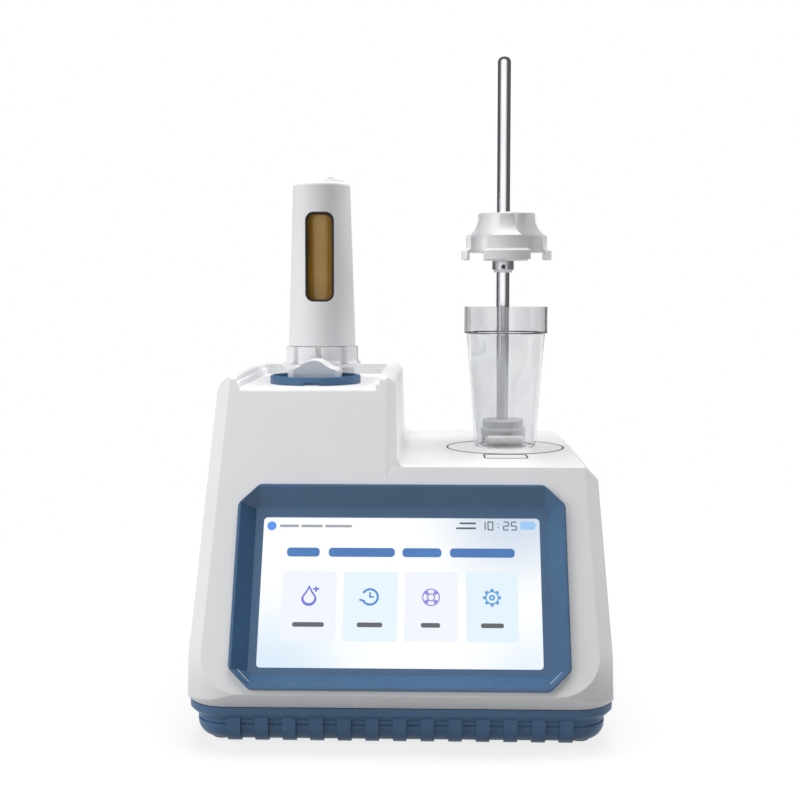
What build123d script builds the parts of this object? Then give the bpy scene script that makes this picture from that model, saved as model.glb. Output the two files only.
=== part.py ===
from build123d import *
import os
from math import atan, cos, degrees, radians, sin, sqrt, tan

# Automatic titrator, in millimetres. X runs to the right, Y to the back and Z up.
# The origin lies on the bench, under the middle of the body.

# ---- Body ----
body_width = 233.0          # at the seam between tray and housing
body_depth = 246.0
front_y = -118.0            # front of the seam line
plan_radius = 22.0          # upright corners of the body
housing_step = 0.6          # the housing stands back from the tray's flange
wall = 3.0                  # moulded walls of the housing
seam_z = 21.5               # height of the seam
platform_rise = 124.3       # stirring platform above the seam
tower_rise = 49.9           # rim of the burette tower above the platform
platform_width = 119.3      # from the tower's wall to the right side of the body
side_draft = 2.1            # degrees
lip_reach = 11.4            # how far the front leans out over the seam
lip_angle = 46.4            # degrees, under side of that overhang
tower_round = 11.0          # outer top edges of the tower
tower_inner_round = 8.0     # its top edge over the platform
front_edge_round = 5.0      # edge between the sloping face and the top
platform_bevel_reach = 12.5  # the platform's right bevel, in from the side
step_round = 5.0            # inner corner between tower and platform

# ---- Sloping front ----
facet_tilt = 27.45          # degrees back from upright
facet_reach = 3.1           # the face stands out over the seam by this at the display's lower edge
facet_rise = 23.9           # and that edge lies this far above the seam
facet_side_low = 8.9        # from the side of the body to the face, at its foot
facet_side_high = 16.4      # and far above
facet_foot = -15.0          # lower edge, along the slope
facet_top = 200.0           # far above the housing
facet_corner = 22.0
bevel_depth = 20.0
notch_edge_low = 6.4        # left edge of the tower's bevel, in from the tower's wall, at its foot
notch_edge_high = 7.6       # and far above
notch_tip = 104.0           # where the bevel runs out, along the slope
notch_tip_in = 4.9          # its tip, in from the tower's wall
notch_tip_high = 7.7        # length over which the edge turns to the tip
notch_round = 9.5           # round over the platform's corner
notch_turn = 10.0           # degrees of that round left out at the tip

# ---- Tray on top of the tower ----
tray_depth = 6.5
tray_from_side = 20.9
tray_from_wall = 12.9
tray_from_back = 50.0
tray_step = 1.9             # width of the step in its wall
tray_step_depth = 3.0
tray_corner = 4.0

# ---- Base tray ----
base_z = 0.9                # under side of the tray
flange_high = 3.9           # upright edge at the seam
reveal = 0.5                # shadow gap under the housing
reveal_depth = 0.8
base_inset = 4.3            # wall of the tray, in from the flange
base_chamfer = 4.2          # height of the slope under the flange
base_round = 8.8
base_wall = 3.0
bead_drop = 1.6             # groove round the tray, below that slope
bead_high = 1.0
bead_depth = 0.7
rib_pitch = 15.0
rib_width = 7.3
rib_proud = 1.9
rib_foot_z = 0.4
rib_root = 10.0             # depth of a rib, from its front
foot_radius = 6.5
foot_from_side = 18.5
foot_from_front = 19.5
foot_from_back = 22.0
foot_high = 2.4             # seat of each foot in the tray
foot_edge = 0.5

# ---- Fits ----
skin = 0.5                  # inner pieces of the housing end this far inside its surface
running = 0.05              # radial clearance of a shaft in its bore
loose = 0.4                 # between pieces that move past each other
seat = 0.15                 # between moulded pieces that plug together

# ---- Screen ----
display_width = 154.4
display_height = 84.4
display_corner = 2.2
bezel_side = 14.3           # outline of the frame, out from the display
bezel_below = 12.8
bezel_above = 17.8
bezel_cut = 11.5            # corners of the frame, cut at 45 degrees
bezel_ease = 4.5            # round at both ends of that cut
bezel_rim_cut = 9.4         # and the cut where the flat rim ends
bezel_proud = 2.5
bezel_rim = 1.6             # flat rim before the inner slope
bezel_skirt = 3.6           # outline of the skirt, in from the outline of the frame
bezel_back = 8.0
bezel_edge = 0.7            # round on the outer edge
ledge_side = 4.5            # the slope ends this far out from the display
ledge_below = 3.6
ledge_above = 6.2
ledge_depth = 3.5
ledge_thick = 1.0
ledge_corner = 1.6
glass_thick = 1.1
glass_margin = 0.4
module_thick = 6.0
module_board = 3.0          # driver board behind the display
module_board_inset = 12.0

# ---- Stand, head and beaker ----
stand_from_side = 53.1
beaker_from_front = 145.0
rod_behind_beaker = 39.0
rod_radius = 4.3
rod_rise = 251.9            # top of the rod above the platform
rod_socket = 8.5            # bottom of the rod above the platform
foot_disc_radius = 15.8
foot_disc_high = 4.8
foot_disc_edge = 0.6
foot_body_radius = 18.0
foot_body_high = 7.2
foot_body_round = 2.6
foot_sole_radius = 16.6
foot_sole_high = 2.0
head_rise = 119.0           # lower face of the head above the platform
head_flange_radius = 28.4
head_flange_high = 5.4
head_band_radius = 25.5
head_band_rise = 6.8
head_shoulder_rise = 14.8
head_top_radius = 18.3
head_top_round = 1.5
head_high = 29.2
head_recess_high = 4.6
pocket_radius = 10.4
pocket_centre = 20.9
slot_radius = 7.2
slot_centre = 25.9
pocket_turn = 43.0          # degrees from the right side to the first pocket
tip_bore_radius = 3.1
lug_half_width = 7.0
sleeve_radius = 7.1
sleeve_high = 13.4
bush_high = 7.4
bush_lip_high = 1.6
bush_lip_radius = 6.0
crown_hollow = 13.0         # hollow of the crown's side
grub_radius = 1.25
grub_play = 0.05
grub_socket = 0.75
beaker_rim_radius = 26.25
beaker_rim_high = 17.0
beaker_step_radius = 24.6
beaker_foot_radius = 19.4
beaker_high = 89.4
beaker_wall = 1.2
beaker_round = 3.2          # lower edge
stir_bar_radius = 3.0
stir_bar_length = 25.0

# ---- Burette ----
burette_offset = 1.0        # to the right of the middle of the tower's tray
burette_from_front = 160.0
dish_before_burette = 49.0
dish_radius = 27.6
dish_high = 4.9
dish_floor = 2.2
dish_rim = 2.2
dish_notch_width = 9.2
dish_notch_high = 2.2
dish_notch_depth = 6.0
valve_before_dish = 8.0      # front of the valve block
valve_face_width = 25.6
valve_left = 16.3           # reach of the block to each side of its middle
valve_right = 14.2
valve_brow = 2.4            # flat shoulder beside the gable
valve_chamfer = 2.4
valve_shoulder_high = 8.8  # above the tray
valve_peak_high = 14.1
valve_raised = 29.0         # depth of the raised part of the block
channel_radius = 1.0
channel_high = 6.4
channel_start = 2.0         # behind the front of the block
channel_length = 22.0
valve_core_radius = 4.5
valve_core_back = 17.0      # axis of the core, behind the front of the block
valve_core_high = 8.6
valve_core_end = 0.2        # play at both ends of the core
drive_slot_width = 1.6      # slot in the foot of the core
drive_slot_length = 6.0
foot_ring_radius = 20.6     # foot under the flange
burette_rise = 7.2          # flange above the tray
flange_radius = 25.8
flange_thick = 2.2
collar_gap = 0.2
collar_high = 11.0
collar_ring_radius = 20.9
collar_lug_radius = 23.3
collar_lugs = 9
collar_lug_width = 11.4
collar_lug_edge = 0.6
collar_flare = 1.6          # foot of each lug, outwards
collar_flare_high = 2.4
collar_seat_radius = 17.6   # shoulder inside the collar
collar_bore_radius = 18.0
cover_neck_radius = 18.6    # the neck plugs into the collar
cover_neck_high = 3.6
cover_skirt_radius = 21.5
cover_high = 104.2
cover_top_radius = 18.3
cover_wall = 2.0
cover_round = 3.0
window_width = 18.3
window_low = 28.3           # above the skirt of the cover
window_high = 56.6
window_round = 5.4
barrel_radius = 14.0
barrel_wall = 2.2
barrel_seat = 3.8           # above the under side of the flange
barrel_high = 102.0
outlet_radius = 1.5
piston_start = 6.0          # above the bottom of the barrel
piston_high = 7.0
seal_high = 2.6
piston_rod_radius = 5.0
piston_rod_drop = 2.0
cap_radius = 9.8
cap_offset = 4.6
cap_high = 1.6
knob_radius = 4.2
knob_high = 1.9
knob_stem = 1.8

# ---- Drive under the burette ----
screw_behind_burette = 24.0
screw_radius = 4.0
motor_side = 42.0
motor_high = 38.0
motor_rise = 18.1           # above the floor of the tray
motor_corner = 4.0
motor_back = 6.0            # thickness behind the screw's end
plate_thick = 5.0
plate_half_x = 34.0
plate_half_y = 22.0
top_plate_drop = 13.0       # below the floor of the burette's tray
top_plate_front = 12.0
guide_x = 22.0
guide_radius = 4.0
guide_socket = 1.0
pusher_rise = 27.0          # above the motor plate
pusher_high = 14.0
pusher_half_x = 30.0
pusher_half_y = 10.0
pusher_rod_radius = 6.0
arm_half = 9.0
leg_side = 8.0

# ---- Stirrer under the platform ----
bracket_drop = 31.6         # below the platform
bracket_thick = 3.0
bracket_radius = 30.0
bracket_post_radius = 4.0
bracket_post_circle = 25.0
stirrer_motor_radius = 14.0
stirrer_motor_high = 28.0
stirrer_shaft_radius = 1.5
stirrer_shaft_depth = 12.0
holder_radius = 18.0
holder_high = 8.0
holder_drop = 19.6
magnet_radius = 5.0
magnet_circle = 11.0
magnet_seat = 2.0

# ---- Back ----
panel_from_side = 28.5
panel_rise = 12.7           # above the seam
panel_high = 84.0
panel_corner = 5.0
panel_thick = 2.0
panel_set_back = 8.6
panel_ledge = 6.5
inlet_from_edge = 26.0
inlet_rise = 24.0           # above the lower edge of the panel
inlet_width = 27.0
inlet_high = 20.0
inlet_depth = 22.0
switch_from_inlet = 40.0
switch_width = 19.0
switch_high = 13.0
switch_depth = 14.0
switch_wall = 1.0
socket_rise = 34.0          # above the inlet
socket_from_inlet = 2.0
socket_count = 2
socket_depth = 14.0
socket_wall = 0.7
socket_pitch = 26.0
socket_radius = 6.0
usb_from_inlet = 66.0
usb_width = 13.0
usb_high = 12.0
serial_from_inlet = 98.0
serial_width = 31.0
serial_high = 11.0
vent_count = 7
vent_pitch = 8.0
vent_from_switch = 46.0     # middle of the row
vent_width = 3.0
vent_high = 24.0
rocker_radius = 5.1
rocker_crest = 2.0          # where its faces meet, out from the pivot
rocker_depth = 1.2          # pivot behind the panel
rocker_half = 8.2
rocker_swing = 18.0         # degrees between off and on
inlet_flange = 2.0
inlet_wall = 1.6
inlet_cut = 4.0             # cut corners of its cavity
inlet_cavity = 16.0
pin_pitch = 7.0
pin_drop = 2.0
pin_wide = 2.0
pin_high = 4.0
pin_length = 10.0
switch_flange = 1.5
socket_back = 8.0
socket_nut = 2.0
socket_nut_high = 1.6
sleeve_outer = 4.8
sleeve_inner = 3.6
sleeve_length = 8.0
lug_radius = 1.0
lug_proud = 0.8
tongue_high = 2.4
tongue_in = 5.0
panel_screw_in = 5.3        # from the panel's upper and lower edges
panel_screw_high = 1.8
screw_shank = 1.5
screw_head = 3.0
screw_head_high = 2.2
hex_socket = 1.3
hex_depth = 1.2

# ---- Bosses, board and supply ----
boss_from_side = 12.5
boss_from_end = 34.0
boss_radius = 4.6
boss_high = 40.7            # above the seam
boss_web = 3.0
screw_seat_z = 7.0
board_from_side = 64.5
board_from_front = 74.0
board_half_x = 42.0
board_half_y = 28.0
board_edge = 5.0
board_rise = 8.1            # above the floor of the tray
board_thick = 1.6
board_post_radius = 3.5
board_components = (        # middle in X and Y, size in X and Y, height
    (-20.0, -12.0, 14.0, 14.0, 2.0), (12.0, -14.0, 10.0, 10.0, 2.0), (26.0, 8.0, 6.0, 14.0, 6.0),
    (-4.0, 16.0, 20.0, 6.0, 8.0), (-30.0, 14.0, 8.0, 8.0, 10.0))
supply_from_side = 50.5
supply_from_back = 66.0
supply_half_x = 25.0
supply_half_y = 45.0
supply_high = 27.0
supply_foot = 3.0           # height and radius of its feet
supply_foot_in = 5.0

# ---- Worked-out values ----
side_x = body_width / 2
back_y = front_y + body_depth
platform_z = seam_z + platform_rise
tower_top_z = platform_z + tower_rise
tower_wall_x = side_x - platform_width
flange_z = seam_z - flange_high
floor_z = base_z + base_wall
platform_bevel_x = side_x - platform_bevel_reach
facet_half_low = side_x - facet_side_low
facet_half_high = side_x - facet_side_high
facet_z = seam_z + facet_rise
tilt = radians(facet_tilt)
facet = Plane(origin=(0, front_y - facet_reach, facet_z), x_dir=(1, 0, 0), z_dir=(0, -cos(tilt), sin(tilt)))
bezel_half = display_width / 2 + bezel_side
bezel_top = display_height + bezel_above
ledge_half = display_width / 2 + ledge_side
ledge_top = display_height + ledge_above
rib_count = 1 + int((body_width - 2 * plan_radius) / rib_pitch)
foot_front_y = front_y + foot_from_front
foot_back_y = back_y - foot_from_back
boss_front_y = front_y + boss_from_end
boss_back_y = back_y - boss_from_end
foot_x = side_x - foot_from_side
boss_x = side_x - boss_from_side
boss_top_z = seam_z + boss_high

tray_floor_z = tower_top_z - tray_depth
tray_step_z = tower_top_z - tray_step_depth
tray_left_x = -side_x + tray_from_side
tray_right_x = tower_wall_x - tray_from_wall
tray_back_y = back_y - tray_from_back

stand_x = side_x - stand_from_side
beaker_y = front_y + beaker_from_front
rod_y = beaker_y + rod_behind_beaker
rod_low_z = platform_z + rod_socket
rod_top_z = platform_z + rod_rise
head_base_z = platform_z + head_rise
head_band_z = head_base_z + head_band_rise
head_shoulder_z = head_base_z + head_shoulder_rise
head_top_z = head_base_z + head_high
sleeve_top_z = head_base_z + sleeve_high
grub_z = head_base_z - bush_high / 2

burette_x = (tray_left_x + tray_right_x) / 2 + burette_offset
burette_y = front_y + burette_from_front
dish_y = burette_y - dish_before_burette
valve_front_y = dish_y - valve_before_dish
valve_core_y = valve_front_y + valve_core_back
valve_core_top = tray_floor_z + valve_core_high
valve_low_z = tray_floor_z + dish_floor
valve_channel_z = tray_floor_z + channel_high
valve_shoulder_z = tray_floor_z + valve_shoulder_high
valve_peak_z = tray_floor_z + valve_peak_high
valve_step_y = valve_front_y + valve_raised
burette_flange_z = tray_floor_z + burette_rise
collar_bottom_z = burette_flange_z + flange_thick + collar_gap
collar_top_z = collar_bottom_z + collar_high
cover_skirt_z = collar_top_z + loose
cover_neck_z = collar_top_z - cover_neck_high
cover_top_z = cover_skirt_z + cover_high
window_low_z = cover_skirt_z + window_low
window_high_z = window_low_z + window_high
barrel_bottom_z = burette_flange_z + barrel_seat
barrel_top_z = barrel_bottom_z + barrel_high
barrel_bore = barrel_radius - barrel_wall
piston_bottom_z = barrel_bottom_z + piston_start
piston_rod_bottom_z = barrel_bottom_z - piston_rod_drop

screw_y = burette_y + screw_behind_burette
motor_bottom_z = floor_z + motor_rise
motor_plate_z = motor_bottom_z + motor_high
pusher_z = motor_plate_z + plate_thick + pusher_rise
top_plate_z = tray_floor_z - top_plate_drop
bracket_z = platform_z - bracket_drop
holder_z = platform_z - holder_drop

panel_half_x = side_x - panel_from_side
panel_low_z = seam_z + panel_rise
panel_high_z = panel_low_z + panel_high
inlet_panel_y = back_y - panel_set_back      # outer face of the rear panel
inlet_x = panel_half_x - inlet_from_edge
inlet_z = panel_low_z + inlet_rise
switch_x = inlet_x - switch_from_inlet
socket_z = inlet_z + socket_rise
board_x = side_x - board_from_side
board_y = front_y + board_from_front
board_z = floor_z + board_rise
supply_x = side_x - supply_from_side
supply_y = back_y - supply_from_back

burette_axis = Pos(burette_x, burette_y)
beaker_axis = Pos(stand_x, beaker_y)
rod_axis = Pos(stand_x, rod_y)
far = 400.0                                  # larger than anything in the machine


def disc(radius, low, high):
    """An upright cylinder between two heights."""
    return Pos(0, 0, low) * extrude(Circle(radius), high - low)


def turned(points):
    """A solid of revolution about Z from a closed outline of radius and height."""
    outline = make_face(Polyline([(r, 0, z) for r, z in points], close=True))
    return revolve(outline, Axis.Z)


def block(x, y, z):
    """A box from its limits along X, Y and Z."""
    sides = Rectangle(x[1] - x[0], y[1] - y[0])
    return Pos((x[0] + x[1]) / 2, (y[0] + y[1]) / 2, z[0]) * extrude(sides, z[1] - z[0])


def about(middle, half):
    """The limits on both sides of a middle."""
    return middle - half, middle + half


def cross_bar(radius, start, length, direction=(0, 1, 0)):
    """A round bar that starts at a point and runs along a direction."""
    return extrude(Plane(origin=start, z_dir=direction) * Circle(radius), length)


def front_view(outline, near_y, far_y):
    """Carries an outline in X and Z from one depth to another."""
    upright = Plane(origin=(0, far_y, 0), x_dir=(1, 0, 0), z_dir=(0, -1, 0))
    return extrude(upright * outline, far_y - near_y)


def top_edges(shape):
    return shape.edges().group_by(Axis.Z)[-1]


def foot_edges(shape):
    return shape.edges().group_by(Axis.Z)[0]


# ---- Housing ----
def body_plan(inset, reach=0.0):
    """Plan of the body; the reach carries it forward."""
    low = front_y - reach + inset
    high = back_y - inset
    return Pos(0, (low + high) / 2) * RectangleRounded(body_width - 2 * inset, high - low, plan_radius - inset)


def facet_outline(inset):
    """Outline of the sloping face; the walls behind it bevel outwards at 45 degrees."""
    side = inset * tan(radians(22.5))
    low, high = facet_half_low - side, facet_half_high - side
    foot = facet_foot + side
    outline = Polygon((-low, foot), (low, foot), (high, facet_top), (-high, facet_top), align=None)
    corners = outline.vertices().sort_by(Axis.Y)[:2]
    return fillet(corners, facet_corner - inset)


def behind_slope(level, edge_round, inset=0.0):
    """Everything below a level and behind the sloping face, with the edge between them rounded."""
    on_face = facet.offset(-inset).origin
    low = seam_z - far

    def face_y(z):
        return on_face.Y + (z - on_face.Z) * tan(tilt)

    outline = Polygon((face_y(low), low), (face_y(level), level), (far, level), (far, low), align=None)
    edge = outline.vertices().group_by(Axis.Y)[-1].sort_by(Axis.X)[0]
    return extrude(Plane.YZ * fillet(edge, edge_round), far, both=True)


def platform_space(inset, top):
    """The space over the platform and beside the tower, down to the platform's right bevel."""
    lean = tan(radians(side_draft))
    low_x, low_z = tower_wall_x - inset, platform_z - inset
    high_x = low_x - (top - low_z) * lean
    slope_x = platform_bevel_x - inset * tan(radians(22.5))
    outline = Polygon((low_x, low_z), (slope_x, low_z), (slope_x + far, low_z - far), (2 * far, 2 * far),
                      (high_x - tower_round, 2 * far), (high_x - tower_round, top), (high_x, top), align=None)
    outline = fillet(outline.vertices().sort_by_distance((low_x, low_z, 0))[0], step_round + inset)
    outline = fillet(outline.vertices().sort_by_distance((high_x, top, 0))[0], tower_inner_round - inset)
    return front_view(outline, front_y - far, back_y + far)


def tower_bevel(inset):
    """The bevel down the tower's right edge, which runs out round the platform's corner."""
    side = inset * tan(radians(22.5))
    tip_x = tower_wall_x - notch_tip_in
    low = (tower_wall_x - notch_edge_low - side, notch_tip + notch_tip_high)
    high = (tower_wall_x - notch_edge_high - side, facet_top)
    centre_x, turn = tip_x + notch_round, radians(notch_turn)
    corner = notch_round - inset
    start = (centre_x - corner * cos(turn), notch_tip + corner * sin(turn))
    right_x = tower_wall_x + 1
    end = (right_x, notch_tip + sqrt(corner ** 2 - (centre_x - right_x) ** 2))
    edges = Polyline([start, (tip_x - side, notch_tip - inset), low, high, (right_x, facet_top), end])
    curve = RadiusArc(start, end, corner)
    region = extrude(facet.offset(1 - inset) * make_face(edges + curve), -bevel_depth)
    along = facet.x_dir * (high[0] - low[0]) + facet.y_dir * (high[1] - low[1])
    across = along.cross(facet.z_dir).normalized()
    slope = Plane(origin=facet.offset(-inset).from_local_coords(low), x_dir=along, z_dir=across + facet.z_dir)
    return region & extrude(slope * Rectangle(2 * far, 2 * far), far)


def housing_form(inset):
    """The L-shaped body, with every face moved in by the inset."""
    top = tower_top_z if inset < wall else tray_floor_z - inset
    plan_inset = inset + housing_step
    main = extrude(Pos(0, 0, seam_z) * body_plan(plan_inset, lip_reach + 1), top - seam_z, taper=side_draft)
    main = fillet(top_edges(main), tower_round - inset)
    main &= behind_slope(top, front_edge_round - inset, inset)
    lip_high = lip_reach + wall
    lip = extrude(Pos(0, 0, seam_z) * body_plan(plan_inset), lip_high, taper=-lip_angle)
    over = block((-far, far), (-far, far), (seam_z + lip_high, far))
    face = extrude(facet.offset(-inset) * facet_outline(inset), -bevel_depth, taper=-45)
    behind = extrude(facet.offset(-inset - bevel_depth) * Rectangle(2 * far, 2 * far), -far)
    form = main & (lip + over) & (face + behind)
    return form - platform_space(inset, top) - tower_bevel(inset)


def screen_outline(half, foot, top, radius):
    """A rounded rectangle on the sloping face."""
    return Pos(0, (foot + top) / 2) * RectangleRounded(2 * half, top - foot, radius)


def frame_outline(inset, cut, ease=0.0):
    """Outline of the frame round the screen, moved in: a rectangle with its corners cut."""
    high = bezel_top + bezel_below - 2 * inset
    outline = Pos(0, (bezel_top - bezel_below) / 2) * Rectangle(2 * (bezel_half - inset), high)
    outline = chamfer(outline.vertices(), cut)
    return fillet(outline.vertices(), ease) if ease else outline


def skirt_outline(grow):
    """Outline of the skirt behind the frame, and of the opening that it goes in."""
    inset = bezel_skirt - grow
    return frame_outline(inset, bezel_cut - inset * (2 - sqrt(2)), bezel_ease - inset / 2)


def rear_opening(grow, near_y, far_y):
    """The opening for the rear panel, as a block from one depth to another."""
    low, high = panel_low_z - grow, panel_high_z + grow
    outline = Pos(0, (low + high) / 2) * RectangleRounded(2 * (panel_half_x + grow), high - low, panel_corner)
    return front_view(outline, near_y, far_y)


def burette_tray():
    """The recess in the top of the tower, open to the front, with a stepped wall."""
    recess = []
    for grow, low_z in ((0.0, tray_floor_z), (tray_step, tray_step_z)):
        left, right, back = tray_left_x - grow, tray_right_x + grow, tray_back_y + grow
        plan = Pos((left + right) / 2, back - far / 2) * RectangleRounded(right - left, far, tray_corner)
        room = extrude(Pos(0, 0, tray_floor_z - wall) * plan, far)
        recess.append(room - behind_slope(low_z, front_edge_round))
    return recess[0] + recess[1]


def boss_places():
    """The four places where housing and tray are screwed together."""
    return [(x, y) for x in (-boss_x, boss_x) for y in (boss_front_y, boss_back_y)]


def upper_housing():
    shell = housing_form(0) - housing_form(wall)
    near_skin = housing_form(skin)
    for x, y in boss_places():
        out = side_x - 1 if x > 0 else 1 - side_x
        boss = Pos(x, y) * disc(boss_radius, seam_z, boss_top_z)
        web = block(sorted((x, out)), about(y, boss_web / 2), (seam_z, boss_top_z))
        shell += boss + (web & near_skin)
        shell -= Pos(x, y) * disc(screw_shank + running, seam_z - 1, boss_top_z - boss_radius)
    frame_near = inlet_panel_y - panel_thick - wall
    shell += rear_opening(panel_ledge, frame_near, back_y) & near_skin
    shell -= rear_opening(0, inlet_panel_y - panel_thick, back_y + wall)
    shell -= rear_opening(-panel_ledge, frame_near - wall, back_y)
    for x, z in panel_screw_places():
        shell -= cross_bar(screw_shank + running, (x, frame_near - 1, z), far)
    shell -= burette_tray()
    shell -= extrude(facet.offset(wall) * skirt_outline(seat), -3 * wall)
    shell -= burette_axis * disc(pusher_rod_radius + loose, tray_floor_z - 2 * wall, far)
    rim = body_plan(-wall) - body_plan(housing_step + reveal_depth)
    return shell - extrude(Pos(0, 0, seam_z) * rim, reveal)


# ---- Base tray ----
def base_tray():
    """The tub under the housing, with its flange at the seam and a row of ribs in front."""
    flange = extrude(Pos(0, 0, flange_z) * body_plan(0), flange_high)
    taper = degrees(atan(base_inset / base_chamfer))
    slope = extrude(Pos(0, 0, flange_z) * body_plan(0), -base_chamfer, taper=taper)
    tub = extrude(Pos(0, 0, base_z) * body_plan(base_inset), flange_z - base_z)
    tub = fillet(foot_edges(tub), base_round)
    groove_z = flange_z - base_chamfer - bead_drop
    ring = body_plan(0) - body_plan(base_inset + bead_depth)
    tub -= extrude(Pos(0, 0, groove_z) * ring, -bead_high)
    ribs = extrude(Pos(0, 0, rib_foot_z) * body_plan(base_inset - rib_proud), flange_z - rib_foot_z)
    ribs = fillet(foot_edges(ribs), base_round)
    near = front_y + base_inset - rib_proud
    tray = flange + slope + tub
    for place in range(rib_count):
        x = (place - (rib_count - 1) / 2) * rib_pitch
        tray += ribs & block(about(x, rib_width / 2), (near - 1, near + rib_root), (0, flange_z))
    tray -= extrude(Pos(0, 0, floor_z) * body_plan(base_inset + base_wall), seam_z)
    for x, y in board_posts():
        tray += Pos(x, y) * disc(board_post_radius, base_z + 1, board_z)
    for x, y in boss_places():
        tray += Pos(x, y) * disc(boss_radius, base_z + 1, seam_z)
        tray -= Pos(x, y) * disc(screw_head + loose, 0, screw_seat_z)
        tray -= Pos(x, y) * disc(screw_shank + loose, 0, seam_z + 1)
    for x, y in foot_places():
        tray -= Pos(x, y) * disc(foot_radius + running, 0, foot_high)
    return tray


def foot_places():
    return [(x, y) for x in (-foot_x, foot_x) for y in (foot_front_y, foot_back_y)]


def rubber_feet():
    foot = chamfer(foot_edges(disc(foot_radius, 0, foot_high)), foot_edge)
    return [Pos(x, y) * foot for x, y in foot_places()]


def housing_screws():
    head = disc(screw_head, screw_seat_z - screw_head_high, screw_seat_z)
    shank = disc(screw_shank, screw_seat_z, boss_top_z - boss_radius - 1)
    socket = Pos(0, 0, screw_seat_z - screw_head_high) * extrude(RegularPolygon(hex_socket, 6), hex_depth)
    return [Pos(x, y) * (head + shank - socket) for x, y in boss_places()]


# ---- Screen ----
def screen_bezel():
    """Frame of the screen: a flat rim, a slope down to a ledge, and a skirt in the housing."""
    flange = extrude(facet * frame_outline(0, bezel_cut, bezel_ease), bezel_proud)
    flange = fillet(flange.faces().sort_by(Axis((0, 0, 0), facet.z_dir))[-1].edges(), bezel_edge)
    body = flange + extrude(facet * skirt_outline(0), -bezel_back)
    rim = frame_outline(bezel_rim, bezel_rim_cut)
    low, high = -ledge_below, ledge_top
    ledge = Pos(0, (low + high) / 2) * Rectangle(2 * ledge_half, high - low)
    ledge = chamfer(ledge.vertices(), ledge_corner)
    body -= loft([facet.offset(bezel_proud) * rim, facet.offset(-ledge_depth) * ledge], ruled=True)
    body -= extrude(facet * screen_outline(display_width / 2, 0, display_height, display_corner), -far / 4)
    pocket = screen_outline(ledge_half, -ledge_below, ledge_top, ledge_corner)
    return body - extrude(facet.offset(-ledge_depth - ledge_thick) * pocket, -far / 4)


def screen_plate(margin):
    """Outline of a plate in the pocket behind the ledge."""
    return screen_outline(ledge_half - margin, margin - ledge_below, ledge_top - margin, ledge_corner)


def touch_glass():
    return extrude(facet.offset(-ledge_depth - ledge_thick) * screen_plate(glass_margin), -glass_thick)


def display_module():
    front = -ledge_depth - ledge_thick - glass_thick
    panel = extrude(facet.offset(front) * screen_plate(2 * glass_margin), -module_thick)
    inset = module_board_inset
    board = screen_outline(display_width / 2 - inset, inset, display_height - inset, display_corner)
    return panel + extrude(facet.offset(front - module_thick) * board, -module_board)


# ---- Stand ----
def rod_foot():
    """Foot of the stand: a narrow sole, a rounded disc and a smaller disc on it."""
    body_z = platform_z + foot_sole_high
    disc_z = body_z + foot_body_high
    sole = disc(foot_sole_radius, platform_z, body_z)
    body = fillet(disc(foot_body_radius, body_z, disc_z).edges(), foot_body_round)
    top = chamfer(top_edges(disc(foot_disc_radius, disc_z - 1, disc_z + foot_disc_high)), foot_disc_edge)
    return rod_axis * (sole + body + top - disc(rod_radius + running, rod_low_z, far))


def stand_rod():
    rod = disc(rod_radius, rod_low_z, rod_top_z)
    return rod_axis * fillet(top_edges(rod), rod_radius * 0.8)


def head_bush():
    """The metal bush that the head rests on, clamped to the rod by its screw."""
    lip_z = head_base_z - bush_high
    body = disc(sleeve_radius, lip_z + bush_lip_high, head_base_z) + disc(bush_lip_radius, lip_z, head_base_z)
    bush = rod_axis * (body - disc(rod_radius + running, 0, far))
    return bush - cross_bar(grub_radius + running, (stand_x, rod_y, grub_z), -sleeve_radius - 1)


def bush_screw():
    """Grub screw in the front of the bush, against the rod."""
    tip = rod_y - rod_radius - grub_play
    length = sleeve_radius - rod_radius - 4 * grub_play
    screw = cross_bar(grub_radius, (stand_x, tip, grub_z), -length)
    hexagon = Plane(origin=(stand_x, tip - length, grub_z), z_dir=(0, 1, 0)) * RegularPolygon(grub_socket, 6)
    return screw - extrude(hexagon, hex_depth)


def titration_head():
    """Round head over the beaker: a flange, a band, a hollow-sided crown and a lug to the rod."""
    profile = Polyline([(0, head_base_z), (head_flange_radius, head_base_z),
                        (head_flange_radius, head_base_z + head_flange_high),
                        (head_band_radius, head_band_z), (head_band_radius, head_shoulder_z)])
    crown = RadiusArc((head_band_radius, head_shoulder_z), (head_top_radius, head_top_z), crown_hollow)
    close = Polyline([(head_top_radius, head_top_z), (0, head_top_z), (0, head_base_z)])
    outline = make_face(profile + crown + close)
    top_corner = outline.vertices().group_by(Axis.Y)[-1].sort_by(Axis.X)[-1]
    body = revolve(Plane.XZ * fillet(top_corner, head_top_round), Axis.Z)
    body -= disc(beaker_rim_radius + loose, head_base_z - 1, head_base_z + head_recess_high)
    for turn in range(4):
        spin = Rot(0, 0, pocket_turn + 90 * turn)
        body -= spin * Pos(pocket_centre) * disc(pocket_radius, head_shoulder_z, far)
        body -= spin * Pos(slot_centre) * disc(slot_radius, 0, far)
    body -= disc(tip_bore_radius, 0, far)
    sleeve = rod_axis * disc(sleeve_radius, head_base_z, sleeve_top_z)
    arm = block(about(stand_x, lug_half_width), (beaker_y + head_top_radius, rod_y),
                (head_base_z + head_recess_high + 1, sleeve_top_z))
    arm -= beaker_axis * disc(beaker_rim_radius + loose, 0, head_base_z + head_recess_high)
    return beaker_axis * body + sleeve + arm - rod_axis * disc(rod_radius + running, 0, far)


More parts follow.
